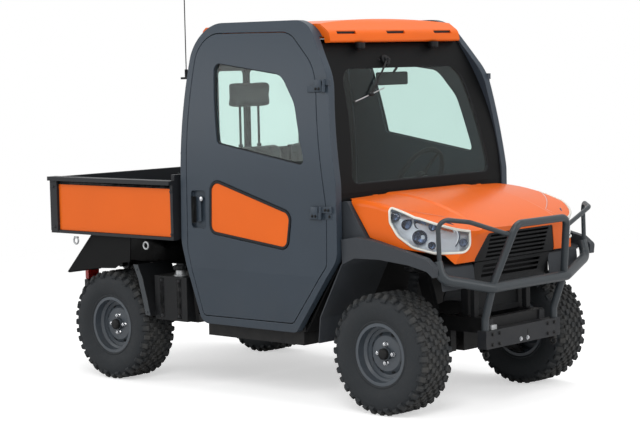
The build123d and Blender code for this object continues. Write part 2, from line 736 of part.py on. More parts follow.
# ---------------------------------------------------------------- front body
nose_lean = 0.3  # how far the nose leans back for each millimetre down
hood_chord = Vector(hood_front_x - hood_rear_x, 0, hood_nose_z - hood_rear_z)
crown_rise = sqrt(hood_crown_radius**2 - (hood_chord.length / 2) ** 2)
crown_way = Vector(hood_chord.Z, 0, -hood_chord.X).normalized()
crown_centre = Vector(hood_rear_x, 0, hood_rear_z) + hood_chord / 2 + crown_way * crown_rise
hood_section = [  # half of the hood top, seen from the front: (y, drop, corner radius)
    (hood_half_width, 600, 0), (hood_half_width, 14, 32), (352, 7, 8), (330, 0, 8),
]


def hood_form(depth):
    """Solid inside the hood's outer face, this far in from it, open towards the rear and below."""
    half, nose_x = hood_half_width - depth, hood_front_x - depth
    with BuildPart() as form:
        with BuildSketch(Plane.XY.offset(500)):
            with BuildLine():
                Polyline((500, 0), (500, half), (1080, half))
                bow = ThreePointArc((1080, half), (1300 - depth, 560 - depth / 2), (1378 - depth, 360))
                Polyline(bow @ 1, (nose_x + 5, 0), (500, 0))
            make_face()
            mirror(about=Plane.XZ)
        extrude(amount=800)
        top_z = crown_centre.Z + hood_crown_radius - depth
        left = [(min(y, half), top_z - drop, radius) for y, drop, radius in hood_section]
        right = [(-y, z, radius) for y, z, radius in reversed(left)]
        with BuildPart(mode=Mode.PRIVATE) as crown:
            with BuildSketch(Plane.YZ.offset(crown_centre.X)):
                add(rounded(left + right))
            revolve(axis=Axis(crown_centre, (0, 1, 0)))
        add(crown.part, mode=Mode.INTERSECT)
        nose = [(400, 400), (400, 1300)]
        nose += [(nose_x - nose_lean * (hood_nose_z - z), z) for z in (1300, 400)]
        add(side_prism(angular(nose), -outside_y, outside_y), mode=Mode.INTERSECT)
    return form.part


hood_side = [  # the painted part, seen from the side: (x, z)
    (hood_rear_x, 1200), (1450, 1200), (1450, 783), (1338, 783), (1305, 836), (1240, 850), (1110, 868),
    (892, 916), (758, 1110), (hood_rear_x, 1110),
]
lamp_outline = [  # seen square to the front corner: (along the corner, z, radius)
    (262, 1080, 22), (488, 1033, 60), (662, 998, 45), (665, 846, 45), (480, 846, 70), (372, 876, 60),
    (300, 932, 60), (264, 1000, 40),
]
corner_plane = Plane(origin=(0, 0, 0), x_dir=(0.7071, -0.7071, 0), z_dir=(-0.7071, -0.7071, 0))
lamp_depth = 40.0
lamp_reach = (1120.0, 1500.0)  # from the origin, square to the front corner
grille_outline = [(-368, 770, 25), (368, 770, 25), (285, 930, 25), (-285, 930, 25)]
grille_foot_z, grille_middle_z, grille_slot_half = 784.0, 858.0, 255.0
grille_slots, grille_pitch, grille_slot_height = 6, 22.0, 12.0


def lamp_prism(gap):
    """Lamp outline carried through the left front corner of the hood."""
    with BuildPart() as prism:
        with BuildSketch(corner_plane.offset(-lamp_reach[0])):
            add(inset(rounded(lamp_outline), gap))
        extrude(amount=lamp_reach[0] - lamp_reach[1])
    return prism.part


with BuildPart() as hood:
    add(hood_form(0) - hood_form(hood_thickness))
    add(side_prism(angular(hood_side), -outside_y, outside_y), mode=Mode.INTERSECT)
    add(front_prism(rounded(grille_outline), 1200, 1500), mode=Mode.SUBTRACT)
    opening = lamp_prism(0)
    add(opening, mode=Mode.SUBTRACT)
    add(opening.mirror(Plane.XZ), mode=Mode.SUBTRACT)
    for hinge_y in (-hood_hinge_y, hood_hinge_y):
        add(hood_hinge(hinge_y, 1))
with BuildPart() as headlamps:
    both_sides((hood_form(1) - hood_form(lamp_depth)) & lamp_prism(seat_gap))
with BuildPart() as grille:
    add((hood_form(3) - hood_form(20)) & front_prism(inset(rounded(grille_outline), seat_gap), 1200, 1500))
    add(block((1200, 1500), (-outside_y, outside_y), (700, grille_foot_z)), mode=Mode.SUBTRACT)
    for index in range(grille_slots):
        middle = grille_middle_z + (index - (grille_slots - 1) / 2) * grille_pitch
        half, high = grille_slot_half, grille_slot_height / 2
        add(block((1200, 1500), (-half, half), (middle - high, middle + high)), mode=Mode.SUBTRACT)

radiator_x, radiator_half_width, radiator_top_z = (1155.0, 1200.0), 238.0, 905.0
with BuildPart() as radiator:
    rail_top = front_rail_z + rail_height
    width = (-radiator_half_width, radiator_half_width)
    add(block(radiator_x, width, (rail_top, radiator_top_z)))
    core = block((radiator_x[1] - 6, radiator_x[1] + 1), (-205, 205), (rail_top + 30, radiator_top_z - 45))
    add(core, mode=Mode.SUBTRACT)

fascia_z, liner_inner = (650.0, 778.0), 330.0
with BuildPart() as front_fascia:
    front_part = block((1210, 1500), (-outside_y, outside_y), fascia_z)
    shelf = block((1210, 1500), (-600, 600), (fascia_z[0], fascia_z[0] + 6))
    add((hood_form(10) - hood_form(16)) & front_part)
    add(hood_form(12) & shelf)
    both_sides(block((1224, 1250), (212, 247), (front_rail_z + rail_height, fascia_z[0] + 3)))
    for index in range(3):
        middle = 700 + index * 26
        add(block((1200, 1500), (-250, 250), (middle - 8, middle + 8)), mode=Mode.SUBTRACT)
    for side in (-1, 1):
        beside = (side * liner_inner, side * outside_y)
        add(block((1200, 1500), beside, (600, fascia_z[1] + 1)), mode=Mode.SUBTRACT)

arch_rows = [  # (x, z) along the wheel arch
    (575, 345), (590, 480), (748, 772), (830, 810), (1000, 812), (1190, 794), (1312, 768), (1350, 738),
]
flare_top = [(1356, 790), (1300, 832), (1176, 860), (958, 908), (846, 920), (744, 904)]
liner_front = (1322, 655)  # foot of the liner's front wall, inboard of the flare
flare_inner, flare_outer = belt_half_width - 70, belt_half_width - 27
side_cowl_y = (belt_half_width - 102, belt_half_width - 66)
with BuildPart() as front_fenders:
    liner = side_prism(band(arch_rows[:-1], (-5, 5), 40), liner_inner, flare_outer)
    front_wall = band([arch_rows[-2], liner_front], (-5, 5), 0)
    flare_face = rounded(
        [(*arch_rows[2], 0)] + [(x, z, 40) for x, z in arch_rows[3:-1]] + [(*arch_rows[-1], 0)]
        + [(x, z, 20) for x, z in flare_top[:-1]] + [(*flare_top[-1], 0)]
    )
    flare = side_prism(flare_face, flare_inner, flare_outer)
    side_cowl = [(firewall_front_x, cowl_z[0] - 0.5), (759, cowl_z[0] - 0.5), (886, 912), (870, 820)]
    side_cowl += [(firewall_front_x, 800)]
    guard_notch = rod((1320, 640, 820), (1347, 640, 718), guard_main_radius + 6)
    flare += side_prism(front_wall, liner_inner, 600) + side_prism(angular(side_cowl), *side_cowl_y)
    both_sides(liner + flare - guard_notch)


# ---------------------------------------------------------------- small fittings
with BuildPart() as interior_mirror:
    add(rounded_block((500, 522), (-130, 130), (1690, 1762), 10))
    add(rod((515, 0, 1750), (560, 0, 1800), 7))
    add(windshield_band(-0.3, 60), mode=Mode.SUBTRACT)
with BuildPart() as work_lights:
    for lamp_y in (-315, 315):
        add(rod((557, lamp_y, 1896), (557, lamp_y, 1926), 27))
antenna_z, antenna_top_z = (1745.0, 1757.0), 2190.0  # bracket, tip
antenna_y = 42.0 - skin_half_width(antenna_z[1])
with BuildPart() as antenna:
    add(block((rear_wall_x - 70, rear_wall_x - 8.1), (antenna_y - 30, antenna_y + 4), antenna_z))
    heights = (antenna_z[1], antenna_z[1] + 43, antenna_top_z)
    foot, collar, tip = [(rear_wall_x - 55, antenna_y, z) for z in heights]
    add(rod(foot, collar, 9))
    add(rod(collar, tip, 3))
with BuildPart() as side_sills:
    sill_outer_y = sill_half_width - side_thickness - 2
    both_sides(block((-300, 425), (420, sill_outer_y), (315, floor_bottom_z)))

box_rear_x, box_front_x, box_z = -700.0, -437.0, (378.0, 630.0)
cover_y, cover_top_z = (320.0, 326.0), 836.0
guard_rows = [(-832, 690), (-794, 612), (-763, 507), (-735, 400)]  # (x, z) down the guard's rear edge
guard_width, guard_thickness, guard_y = 40.0, 6.0, (480.0, 742.0)
with BuildPart() as side_boxes:
    left_box = block((box_rear_x, box_front_x), (rail_outer, 700), box_z)
    left_box += block((box_rear_x, box_front_x), cover_y, (box_z[1] - 1, cover_top_z))
    flange = band(guard_rows, (guard_width, 0), 60)
    left_box += side_prism(flange, guard_y[1] - guard_thickness, guard_y[1])
    web_rows = [(x + guard_width - guard_thickness, z) for x, z in guard_rows]
    left_box += side_prism(band(web_rows, (guard_thickness, 0), 60), *guard_y)
    both_sides(left_box)


# ---------------------------------------------------------------- cargo bed
bed_inner_half, bed_side_outer = bed_half_width - 29.5, bed_half_width - 4.5
bed_under_z = bed_floor_z - bed_floor_thickness
bed_tail_x = bed_rear_x + 5
bed_foot_z = bed_under_z - 4
bed_side_bars = [  # (x span, outer y, z span): wall, top rail, foot rail, rear post, front post
    ((bed_tail_x, bed_front_x), bed_side_outer, (bed_under_z, bed_side_top_z)),
    ((bed_tail_x, bed_front_x), bed_half_width + 40.5, (bed_side_top_z - 8, bed_side_top_z + 16)),
    ((bed_tail_x, bed_front_x), bed_half_width + 13, (bed_foot_z, bed_floor_z - 8)),
    ((bed_tail_x, bed_tail_x + 58), bed_half_width + 18, (bed_foot_z, bed_side_top_z + 16)),
    ((bed_front_x - 20, bed_front_x), bed_half_width + 13, (bed_foot_z, bed_side_top_z + 16)),
]
with BuildPart() as bed_tub:
    add(block((bed_tail_x, bed_front_x), (-bed_side_outer, bed_side_outer), (bed_under_z, bed_floor_z)))
    head_x = (bed_front_x - bed_wall, bed_front_x)
    add(block(head_x, (-bed_side_outer, bed_side_outer), (bed_under_z, bed_head_top_z)))
    sill_x = (bed_tail_x + 60, bed_front_x - 26)
    left_side = block(sill_x, (bed_sill_half_gap, sill_outer), (bed_sill_z, bed_under_z))
    for x_span, outer_y, z_span in bed_side_bars:
        left_side += block(x_span, (bed_inner_half, outer_y), z_span)
    ear = [
        (tilt_pivot_x - 35, bed_sill_z + 1, 0), (tilt_pivot_x + 35, bed_sill_z + 1, 0),
        (tilt_pivot_x + 35, tilt_pivot_z - 32, 30), (tilt_pivot_x - 35, tilt_pivot_z - 32, 30),
    ]
    left_side += side_prism(rounded(ear), bed_sill_half_gap, bed_sill_half_gap + 22)
    rod_ear = [
        (rod_pin_x - 35, bed_under_z, 0), (rod_pin_x + 35, bed_under_z, 0),
        (rod_pin_x + 25, rod_pin_z - 22, 20), (rod_pin_x - 25, rod_pin_z - 22, 20),
    ]
    left_side += side_prism(rounded(rod_ear), 25, 36)
    both_sides(left_side)
    pin = rod((tilt_pivot_x, -400, tilt_pivot_z), (tilt_pivot_x, 400, tilt_pivot_z), tilt_pin_radius + 0.4)
    add(pin, mode=Mode.SUBTRACT)
    gate_pin_x, gate_pin_z = bed_rear_x - 12, bed_under_z - 12
    for lug_y in (-600, 600):
        for end in (-1, 1):
            inner, outer = sorted((lug_y + end * 24, lug_y + end * 38))
            add(block((gate_pin_x - 8, bed_tail_x + 1), (inner, outer), (gate_pin_z - 8, gate_pin_z + 8)))
            add(block((bed_tail_x, bed_tail_x + 20), (inner, outer), (gate_pin_z - 8, bed_under_z + 1)))
        add(rod((gate_pin_x, lug_y - 30, gate_pin_z), (gate_pin_x, lug_y + 30, gate_pin_z), 6))
with BuildPart() as bed_panels:
    panel_x = (bed_tail_x + 60, bed_front_x - 22)
    both_sides(block(panel_x, (bed_side_outer, bed_side_outer + 6), (bed_floor_z - 6, bed_side_top_z - 9)))
with BuildPart() as tailgate:
    gate_x = (bed_rear_x - tailgate_thickness, bed_rear_x)
    add(block(gate_x, (-bed_side_outer, bed_side_outer), (bed_under_z + 6, bed_side_top_z + 10)))
    for panel_y in (-495, -165, 165, 495):
        panel_z = (bed_floor_z + 20, bed_side_top_z - 35)
        panel = block((gate_x[0] - 1, gate_x[0] + 8), (panel_y - 140, panel_y + 140), panel_z)
        add(panel, mode=Mode.SUBTRACT)
    for lug_y in (-600, 600):
        add(rod((gate_pin_x, lug_y - 22, gate_pin_z), (gate_pin_x, lug_y + 22, gate_pin_z), 12))
        add(block((gate_x[0] + 1, gate_pin_x + 10), (lug_y - 22, lug_y + 22), (gate_pin_z, bed_under_z + 8)))
        pin_hole = rod((gate_pin_x, lug_y - 23, gate_pin_z), (gate_pin_x, lug_y + 23, gate_pin_z), 6.3)
        add(pin_hole, mode=Mode.SUBTRACT)
with BuildPart() as mudguards:
    flap = [(-1192, bed_under_z), (-1176, bed_under_z), (-1408, 606), (-1422, 612)]
    skirt = [  # (x, z)
        (-1401, 614), (-1173, bed_under_z), (-857, bed_under_z), (-870, 700), (-937, 691), (-1001, 655),
        (-1150, 648),
    ]
    skirt_outer = bed_inner_half - 0.5
    left_guard = side_prism(angular(flap), 480, skirt_outer)
    both_sides(left_guard + side_prism(angular(skirt), skirt_outer - 6, skirt_outer))

barrel_way = Vector(rod_pin_x - barrel_pin_x, 0, rod_pin_z - barrel_pin_z).normalized()
cylinder_length = hypot(rod_pin_x - barrel_pin_x, rod_pin_z - barrel_pin_z)
barrel_pin = Vector(barrel_pin_x, 0, barrel_pin_z)
with BuildPart() as cylinder_barrel:
    add(rod((barrel_pin_x, -17, barrel_pin_z), (barrel_pin_x, 17, barrel_pin_z), 22))
    add(rod(barrel_pin + barrel_way * 16, barrel_pin + barrel_way * 52, cylinder_neck_radius))
    add(rod(barrel_pin + barrel_way * 50, barrel_pin + barrel_way * 335, barrel_radius))
    bore = rod_radius + 0.4
    add(rod(barrel_pin + barrel_way * 60, barrel_pin + barrel_way * 336, bore), mode=Mode.SUBTRACT)
    bore = barrel_pin_radius + 0.4
    add(rod((barrel_pin_x, -18, barrel_pin_z), (barrel_pin_x, 18, barrel_pin_z), bore), mode=Mode.SUBTRACT)
with BuildPart() as cylinder_rod:
    add(rod(barrel_pin + barrel_way * 70, barrel_pin + barrel_way * (cylinder_length - 10), rod_radius))
    add(rod((rod_pin_x, -18, rod_pin_z), (rod_pin_x, 18, rod_pin_z), 20))

pieces.update(
    frame_rails=frame_rails, crossmembers=crossmembers, frame_brackets=frame_brackets, engine=engine,
    rear_axle=rear_axle, shock_absorbers=shock_absorbers, front_axle=front_axle,
    front_arms=front_arms, left_knuckle=left_knuckle, right_knuckle=right_knuckle,
    hitch_receiver=hitch_receiver, radiator=radiator, rear_bumper=rear_bumper, tail_lamps=tail_lamps,
    front_bumper=front_bumper, front_guard=front_guard, cab_sides=cab_sides, left_door=left_door,
    left_door_glass=left_door_glass, left_door_insert=left_door_insert, right_door=right_door,
    right_door_glass=right_door_glass, right_door_insert=right_door_insert, cab_floor=cab_floor,
    cab_rear_wall=cab_rear_wall, firewall=firewall, windshield_frame=windshield_frame,
    cab_glass=cab_glass, roof=roof, seat_base=seat_base, seats=seats,
    dashboard=dashboard, steering_wheel=steering_wheel, hood=hood, headlamps=headlamps,
    grille=grille, front_fascia=front_fascia, front_fenders=front_fenders,
    interior_mirror=interior_mirror, work_lights=work_lights, antenna=antenna, side_sills=side_sills,
    side_boxes=side_boxes, bed_tub=bed_tub, bed_panels=bed_panels, tailgate=tailgate,
    mudguards=mudguards, cylinder_barrel=cylinder_barrel, cylinder_rod=cylinder_rod,
)
for name, piece in pieces.items():
    piece.part.label = name
    export_step(piece.part, f"parts/{name}.step")
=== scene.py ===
"""Finishes, trim and studio of a side-by-side utility vehicle with an enclosed cab.

The file is laid out as an add-on. Each piece, or group of like pieces, is one operator. The sizes and colours
that a user would change are properties. The panel in the 3D view's sidebar lists the operators in the
order in which they run. Lengths are metres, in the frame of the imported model: +X forward, +Y left, +Z up.
"""

import json
import math

import bmesh
import bpy
from bpy.props import FloatProperty, FloatVectorProperty, IntProperty, PointerProperty
from mathutils import Matrix, Vector
from mathutils.bvhtree import BVHTree


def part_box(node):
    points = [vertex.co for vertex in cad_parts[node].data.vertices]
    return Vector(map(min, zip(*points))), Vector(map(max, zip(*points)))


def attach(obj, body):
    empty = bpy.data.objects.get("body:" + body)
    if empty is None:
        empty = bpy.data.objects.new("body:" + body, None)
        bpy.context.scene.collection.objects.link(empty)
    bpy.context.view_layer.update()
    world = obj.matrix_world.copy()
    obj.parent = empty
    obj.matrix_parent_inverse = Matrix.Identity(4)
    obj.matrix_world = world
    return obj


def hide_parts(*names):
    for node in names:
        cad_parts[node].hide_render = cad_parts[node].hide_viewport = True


bl_info = {
    "name": "Side-by-side utility vehicle",
    "version": (1, 0, 0),
    "blender": (4, 5, 0),
    "location": "View3D > Sidebar > Utility vehicle",
    "description": "Finishes, trim and studio of a utility vehicle with an enclosed cab and a tipping bed",
    "category": "Object",
}

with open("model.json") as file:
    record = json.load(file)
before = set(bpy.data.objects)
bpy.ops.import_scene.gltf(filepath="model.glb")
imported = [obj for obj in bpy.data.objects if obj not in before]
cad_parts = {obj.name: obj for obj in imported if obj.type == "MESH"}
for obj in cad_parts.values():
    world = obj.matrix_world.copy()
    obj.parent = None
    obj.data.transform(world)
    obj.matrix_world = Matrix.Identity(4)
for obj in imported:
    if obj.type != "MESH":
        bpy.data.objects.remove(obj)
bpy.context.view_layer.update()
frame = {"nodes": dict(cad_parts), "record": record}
NODES = frame["nodes"]

FORWARD, LEFT, UP = Vector((1, 0, 0)), Vector((0, 1, 0)), Vector((0, 0, 1))
CORNERS = ("left_front", "right_front", "left_rear", "right_rear")
SIDES = ((1, "left"), (-1, "right"))
OUTSIDE = 1.2  # a place sideways that is clear of the vehicle
SMOOTH_BELOW = math.radians(38)  # faces that meet at less than this are shaded as one surface


# ---------------------------------------------------------------- properties
def length(name, description, default):
    """Length property in metres."""
    return FloatProperty(name=name, description=description, default=default, unit="LENGTH")


def colour(name, description, default):
    """Linear colour property."""
    return FloatVectorProperty(
        name=name, description=description, default=default, subtype="COLOR", min=0, max=1
    )


class PaintSettings(bpy.types.PropertyGroup):
    """Colours of the vehicle."""

    orange: colour("Orange", "Painted body panels", (0.80, 0.135, 0.010))
    cab_grey: colour("Cab grey", "Doors and the rings round them", (0.034, 0.047, 0.063))
    frame_black: colour("Frame black", "Frame and cab structure", (0.006, 0.0065, 0.0075))
    bed_black: colour("Bed black", "Bed, tailgate and bumpers", (0.015, 0.0165, 0.0195))
    plastic_black: colour("Plastic black", "Fascia, dashboard, side boxes", (0.007, 0.0078, 0.009))
    # Lighter than the other black plastic: the fenders' sheen is painted into this colour.
    flare_black_painted_sheen: colour("Flare black, painted sheen", "Front fenders and their flares", (0.036, 0.041, 0.048))
    guard_grey: colour("Guard grey", "Front guard tubes", (0.030, 0.037, 0.043))
    rim_grey: colour("Rim grey", "Pressed steel rims", (0.056, 0.068, 0.082))
    rubber: colour("Rubber", "Tyre rubber", (0.015, 0.0172, 0.0195))
    dust: colour("Dust", "Dry dust that settles on the lower parts", (0.13, 0.12, 0.105))
    glass: colour("Glass", "Tint of the cab glass", (0.749, 0.884, 0.849))


class TyreSettings(bpy.types.PropertyGroup):
    """Tread of the tyres."""

    pitches: IntProperty(name="Pitches", description="Tread blocks round one row", default=36)


class TrimSettings(bpy.types.PropertyGroup):
    """Sizes of the rubber trim and the fasteners."""

    seal_radius: length("Seal radius", "Rubber seal round a pane", 0.006)
    insert_seal_radius: length("Insert seal radius", "Border round a door's coloured insert", 0.0075)
    bolt_radius: length("Bolt radius", "Across half of a bolt's head", 0.0075)


class StudioSettings(bpy.types.PropertyGroup):
    """Camera and light."""

    camera_place: FloatVectorProperty(
        name="Camera place", description="Where the camera stands", subtype="XYZ", unit="LENGTH",
        default=(7.31407, -8.13361, 1.85293),
    )
    camera_azimuth: FloatProperty(
        name="Azimuth", description="How far the camera is turned left of +Y", subtype="ANGLE",
        default=math.radians(42.14),
    )
    camera_dip: FloatProperty(
        name="Dip", description="How far the camera looks down", subtype="ANGLE", default=math.radians(4.66)
    )
    camera_roll: FloatProperty(
        name="Roll", description="How far the camera leans", subtype="ANGLE", default=math.radians(-1.27)
    )
    lens: FloatProperty(name="Lens", description="Focal length in millimetres", default=107.66)
    floor_radius: length("Floor radius", "Where the floor has faded into the background", 9.0)


# ---------------------------------------------------------------- node helpers
def link(tree, source, target):
    """Join two sockets."""
    tree.links.new(source, target)


def node(tree, kind, **values):
    """New node, with its fields and its input sockets set by name."""
    made = tree.nodes.new(kind)
    for key, value in values.items():
        if key in made.inputs:
            made.inputs[key].default_value = value
        else:
            setattr(made, key, value)
    return made


def maths(tree, operation, first, second=None, clamp=False):
    """Math node on sockets or numbers; returns its result."""
    made = node(tree, "ShaderNodeMath", operation=operation, use_clamp=clamp)
    for socket, value in zip(made.inputs, (first, second)):
        if isinstance(value, bpy.types.NodeSocket):
            link(tree, value, socket)
        elif value is not None:
            socket.default_value = value
    return made.outputs[0]


def map_range(tree, value, low, high, to_low=0.0, to_high=1.0):
    """Smooth remap of a value from one range to another."""
    made = node(tree, "ShaderNodeMapRange", interpolation_type="SMOOTHSTEP")
    link(tree, value, made.inputs["Value"])
    for name, number in (("From Min", low), ("From Max", high), ("To Min", to_low), ("To Max", to_high)):
        made.inputs[name].default_value = number
    return made.outputs["Result"]


def mix_colour(tree, factor, first, second):
    """Mix of two colours, each a socket or a colour; returns its result."""
    made = node(tree, "ShaderNodeMix", data_type="RGBA")
    for socket, value in ((made.inputs[0], factor), (made.inputs[6], first), (made.inputs[7], second)):
        if isinstance(value, bpy.types.NodeSocket):
            link(tree, value, socket)
        elif isinstance(value, (int, float)):
            socket.default_value = value
        else:
            socket.default_value = (*value[:3], 1.0)
    return made.outputs[2]


def noise(tree, vector, scale, detail=3.0, roughness=0.55):
    """Noise value at a scale."""
    made = node(tree, "ShaderNodeTexNoise", Scale=scale, Detail=detail, Roughness=roughness)
    link(tree, vector, made.inputs["Vector"])
    return made.outputs["Fac"]


def object_place(tree):
    """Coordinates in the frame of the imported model."""
    return node(tree, "ShaderNodeTexCoord").outputs["Object"]


def bumped(tree, shader, height, strength, distance, normal=None):
    """Bump of a height, on a normal if there is one, into a shader."""
    bump = node(tree, "ShaderNodeBump", Strength=strength, Distance=distance)
    link(tree, height, bump.inputs["Height"])
    if normal is not None:
        link(tree, normal, bump.inputs["Normal"])
    link(tree, bump.outputs["Normal"], shader.inputs["Normal"])


def effect(name, inputs, outputs):
    """Empty node group with named inputs and outputs; returns (group, input node, output node)."""
    group = bpy.data.node_groups.new(name, "ShaderNodeTree")
    for label, kind, default in inputs:
        socket = group.interface.new_socket(name=label, in_out="INPUT", socket_type=kind)
        if default is not None:
            socket.default_value = default
    for label, kind in outputs:
        group.interface.new_socket(name=label, in_out="OUTPUT", socket_type=kind)
    return group, group.nodes.new("NodeGroupInput"), group.nodes.new("NodeGroupOutput")


def edge_wear_effect():
    """Mask of the outer edges, rubbed through where a fine noise lets it, and the rounded normal."""
    group, entry, result = effect(
        "Edge wear",
        [("Width", "NodeSocketFloat", 0.003), ("Amount", "NodeSocketFloat", 0.5)],
        [("Mask", "NodeSocketFloat"), ("Normal", "NodeSocketVector")],
    )
    rounded = node(group, "ShaderNodeBevel", samples=6)
    link(group, entry.outputs["Width"], rounded.inputs["Radius"])
    surface = node(group, "ShaderNodeNewGeometry")
    facing = node(group, "ShaderNodeVectorMath", operation="DOT_PRODUCT")
    link(group, rounded.outputs[0], facing.inputs[0])
    link(group, surface.outputs["Normal"], facing.inputs[1])
    place = object_place(group)
    edge = map_range(group, facing.outputs["Value"], 0.985, 0.86)
    rub = map_range(group, noise(group, place, 26, 6), 0.42, 0.62)
    mask = maths(group, "MULTIPLY", maths(group, "MULTIPLY", edge, rub), entry.outputs["Amount"], True)
    link(group, mask, result.inputs["Mask"])
    link(group, rounded.outputs[0], result.inputs["Normal"])
    return group


def dust_effect():
    """Mask of dust: thick low down, thin above, more on faces that look up, broken by noise."""
    group, entry, result = effect(
        "Dust",
        [
            ("Top", "NodeSocketFloat", 0.9), ("Amount", "NodeSocketFloat", 0.5),
            ("Shelf", "NodeSocketFloat", 0.1),
        ],
        [("Mask", "NodeSocketFloat")],
    )
    place = object_place(group)
    split = node(group, "ShaderNodeSeparateXYZ")
    link(group, place, split.inputs[0])
    surface = node(group, "ShaderNodeNewGeometry")
    normal = node(group, "ShaderNodeSeparateXYZ")
    link(group, surface.outputs["Normal"], normal.inputs[0])
    share = maths(group, "DIVIDE", split.outputs["Z"], entry.outputs["Top"])
    low = map_range(group, share, 1.0, 0.15)
    shelf = maths(group, "MULTIPLY", map_range(group, normal.outputs["Z"], 0.5, 1.0), entry.outputs["Shelf"])
    broken = map_range(group, noise(group, place, 9, 8, 0.65), 0.3, 0.75)
    total = maths(group, "ADD", maths(group, "MULTIPLY", low, entry.outputs["Amount"]), shelf)
    link(group, maths(group, "MULTIPLY", total, broken, True), result.inputs["Mask"])
    return group


def drift_effect():
    """Colour that drifts a little lighter and darker over the surface."""
    group, entry, result = effect(
        "Colour drift",
        [
            ("Color", "NodeSocketColor", None), ("Amount", "NodeSocketFloat", 0.1),
            ("Scale", "NodeSocketFloat", 3.0),
        ],
        [("Color", "NodeSocketColor"), ("Value", "NodeSocketFloat")],
    )
    place = object_place(group)
    cloud = node(group, "ShaderNodeTexNoise", Detail=5.0)
    link(group, place, cloud.inputs["Vector"])
    link(group, entry.outputs["Scale"], cloud.inputs["Scale"])
    centred = maths(group, "SUBTRACT", cloud.outputs["Fac"], 0.5)
    swing = maths(group, "MULTIPLY", centred, entry.outputs["Amount"])
    shade = node(group, "ShaderNodeHueSaturation")
    link(group, entry.outputs["Color"], shade.inputs["Color"])
    link(group, maths(group, "ADD", maths(group, "MULTIPLY", swing, 4.0), 1.0), shade.inputs["Value"])
    link(group, shade.outputs["Color"], result.inputs["Color"])
    link(group, cloud.outputs["Fac"], result.inputs["Value"])
    return group


def grain_effect():
    """Height of a fine moulded or sprayed grain."""
    group, entry, result = effect(
        "Grain",
        [("Scale", "NodeSocketFloat", 400.0)],
        [("Height", "NodeSocketFloat")],
    )
    place = object_place(group)
    cells = node(group, "ShaderNodeTexVoronoi", feature="SMOOTH_F1")
    cloud = node(group, "ShaderNodeTexNoise", Detail=2.0)
    for texture in (cells, cloud):
        link(group, place, texture.inputs["Vector"])
        link(group, entry.outputs["Scale"], texture.inputs["Scale"])
    height = maths(group, "ADD", cells.outputs["Distance"], cloud.outputs["Fac"])
    link(group, height, result.inputs["Height"])
    return group


EFFECTS = {}  # name: node group, made once


def placed(tree, name, **values):
    """One effect placed in a material, with its own values."""
    makers = {
        "Edge wear": edge_wear_effect, "Dust": dust_effect, "Colour drift": drift_effect,
        "Grain": grain_effect,
    }
    if name not in EFFECTS:
        EFFECTS[name] = makers[name]()
    made = tree.nodes.new("ShaderNodeGroup")
    made.node_tree = EFFECTS[name]
    for label, value in values.items():
        made.inputs[label].default_value = value
    return made


def blank_material(name, **values):
    """Material with a Principled shader whose sockets are set; returns (material, tree, shader)."""
    material = bpy.data.materials.new(name)
    material.use_nodes = True
    tree = material.node_tree
    shader = tree.nodes["Principled BSDF"]
    for label, value in values.items():
        shader.inputs[label.replace("_", " ")].default_value = value
    return material, tree, shader


def surface_material(
    name, base, roughness, grain=400.0, grain_depth=0.02, wear=0.3, wear_colour=(0.20, 0.20, 0.20),
    edge=0.003, dust_top=0.9, dust=0.35, shelf=0.1, drift=0.08, roughness_swing=0.12, **shader_values,
):
    """Coated surface with colour drift, grain, rounded and rubbed edges, and dust low down."""
    material, tree, shader = blank_material(name, **shader_values)
    paint = bpy.context.scene.vehicle_paint
    tint = placed(tree, "Colour drift", Color=(*base[:3], 1.0), Amount=drift)
    edges = placed(tree, "Edge wear", Width=edge, Amount=wear)
    dirt = placed(tree, "Dust", Top=dust_top, Amount=dust, Shelf=shelf)
    rubbed = mix_colour(tree, edges.outputs["Mask"], tint.outputs["Color"], wear_colour)
    link(tree, mix_colour(tree, dirt.outputs["Mask"], rubbed, paint.dust), shader.inputs["Base Color"])
    swing = maths(tree, "MULTIPLY", tint.outputs["Value"], roughness_swing)
    gloss = maths(tree, "ADD", swing, roughness - roughness_swing / 2)
    dull = maths(tree, "MULTIPLY", dirt.outputs["Mask"], 0.4)
    link(tree, maths(tree, "ADD", gloss, dull, True), shader.inputs["Roughness"])
    height = placed(tree, "Grain", Scale=grain).outputs["Height"]
    bumped(tree, shader, height, grain_depth, 0.002, edges.outputs["Normal"])
    return material


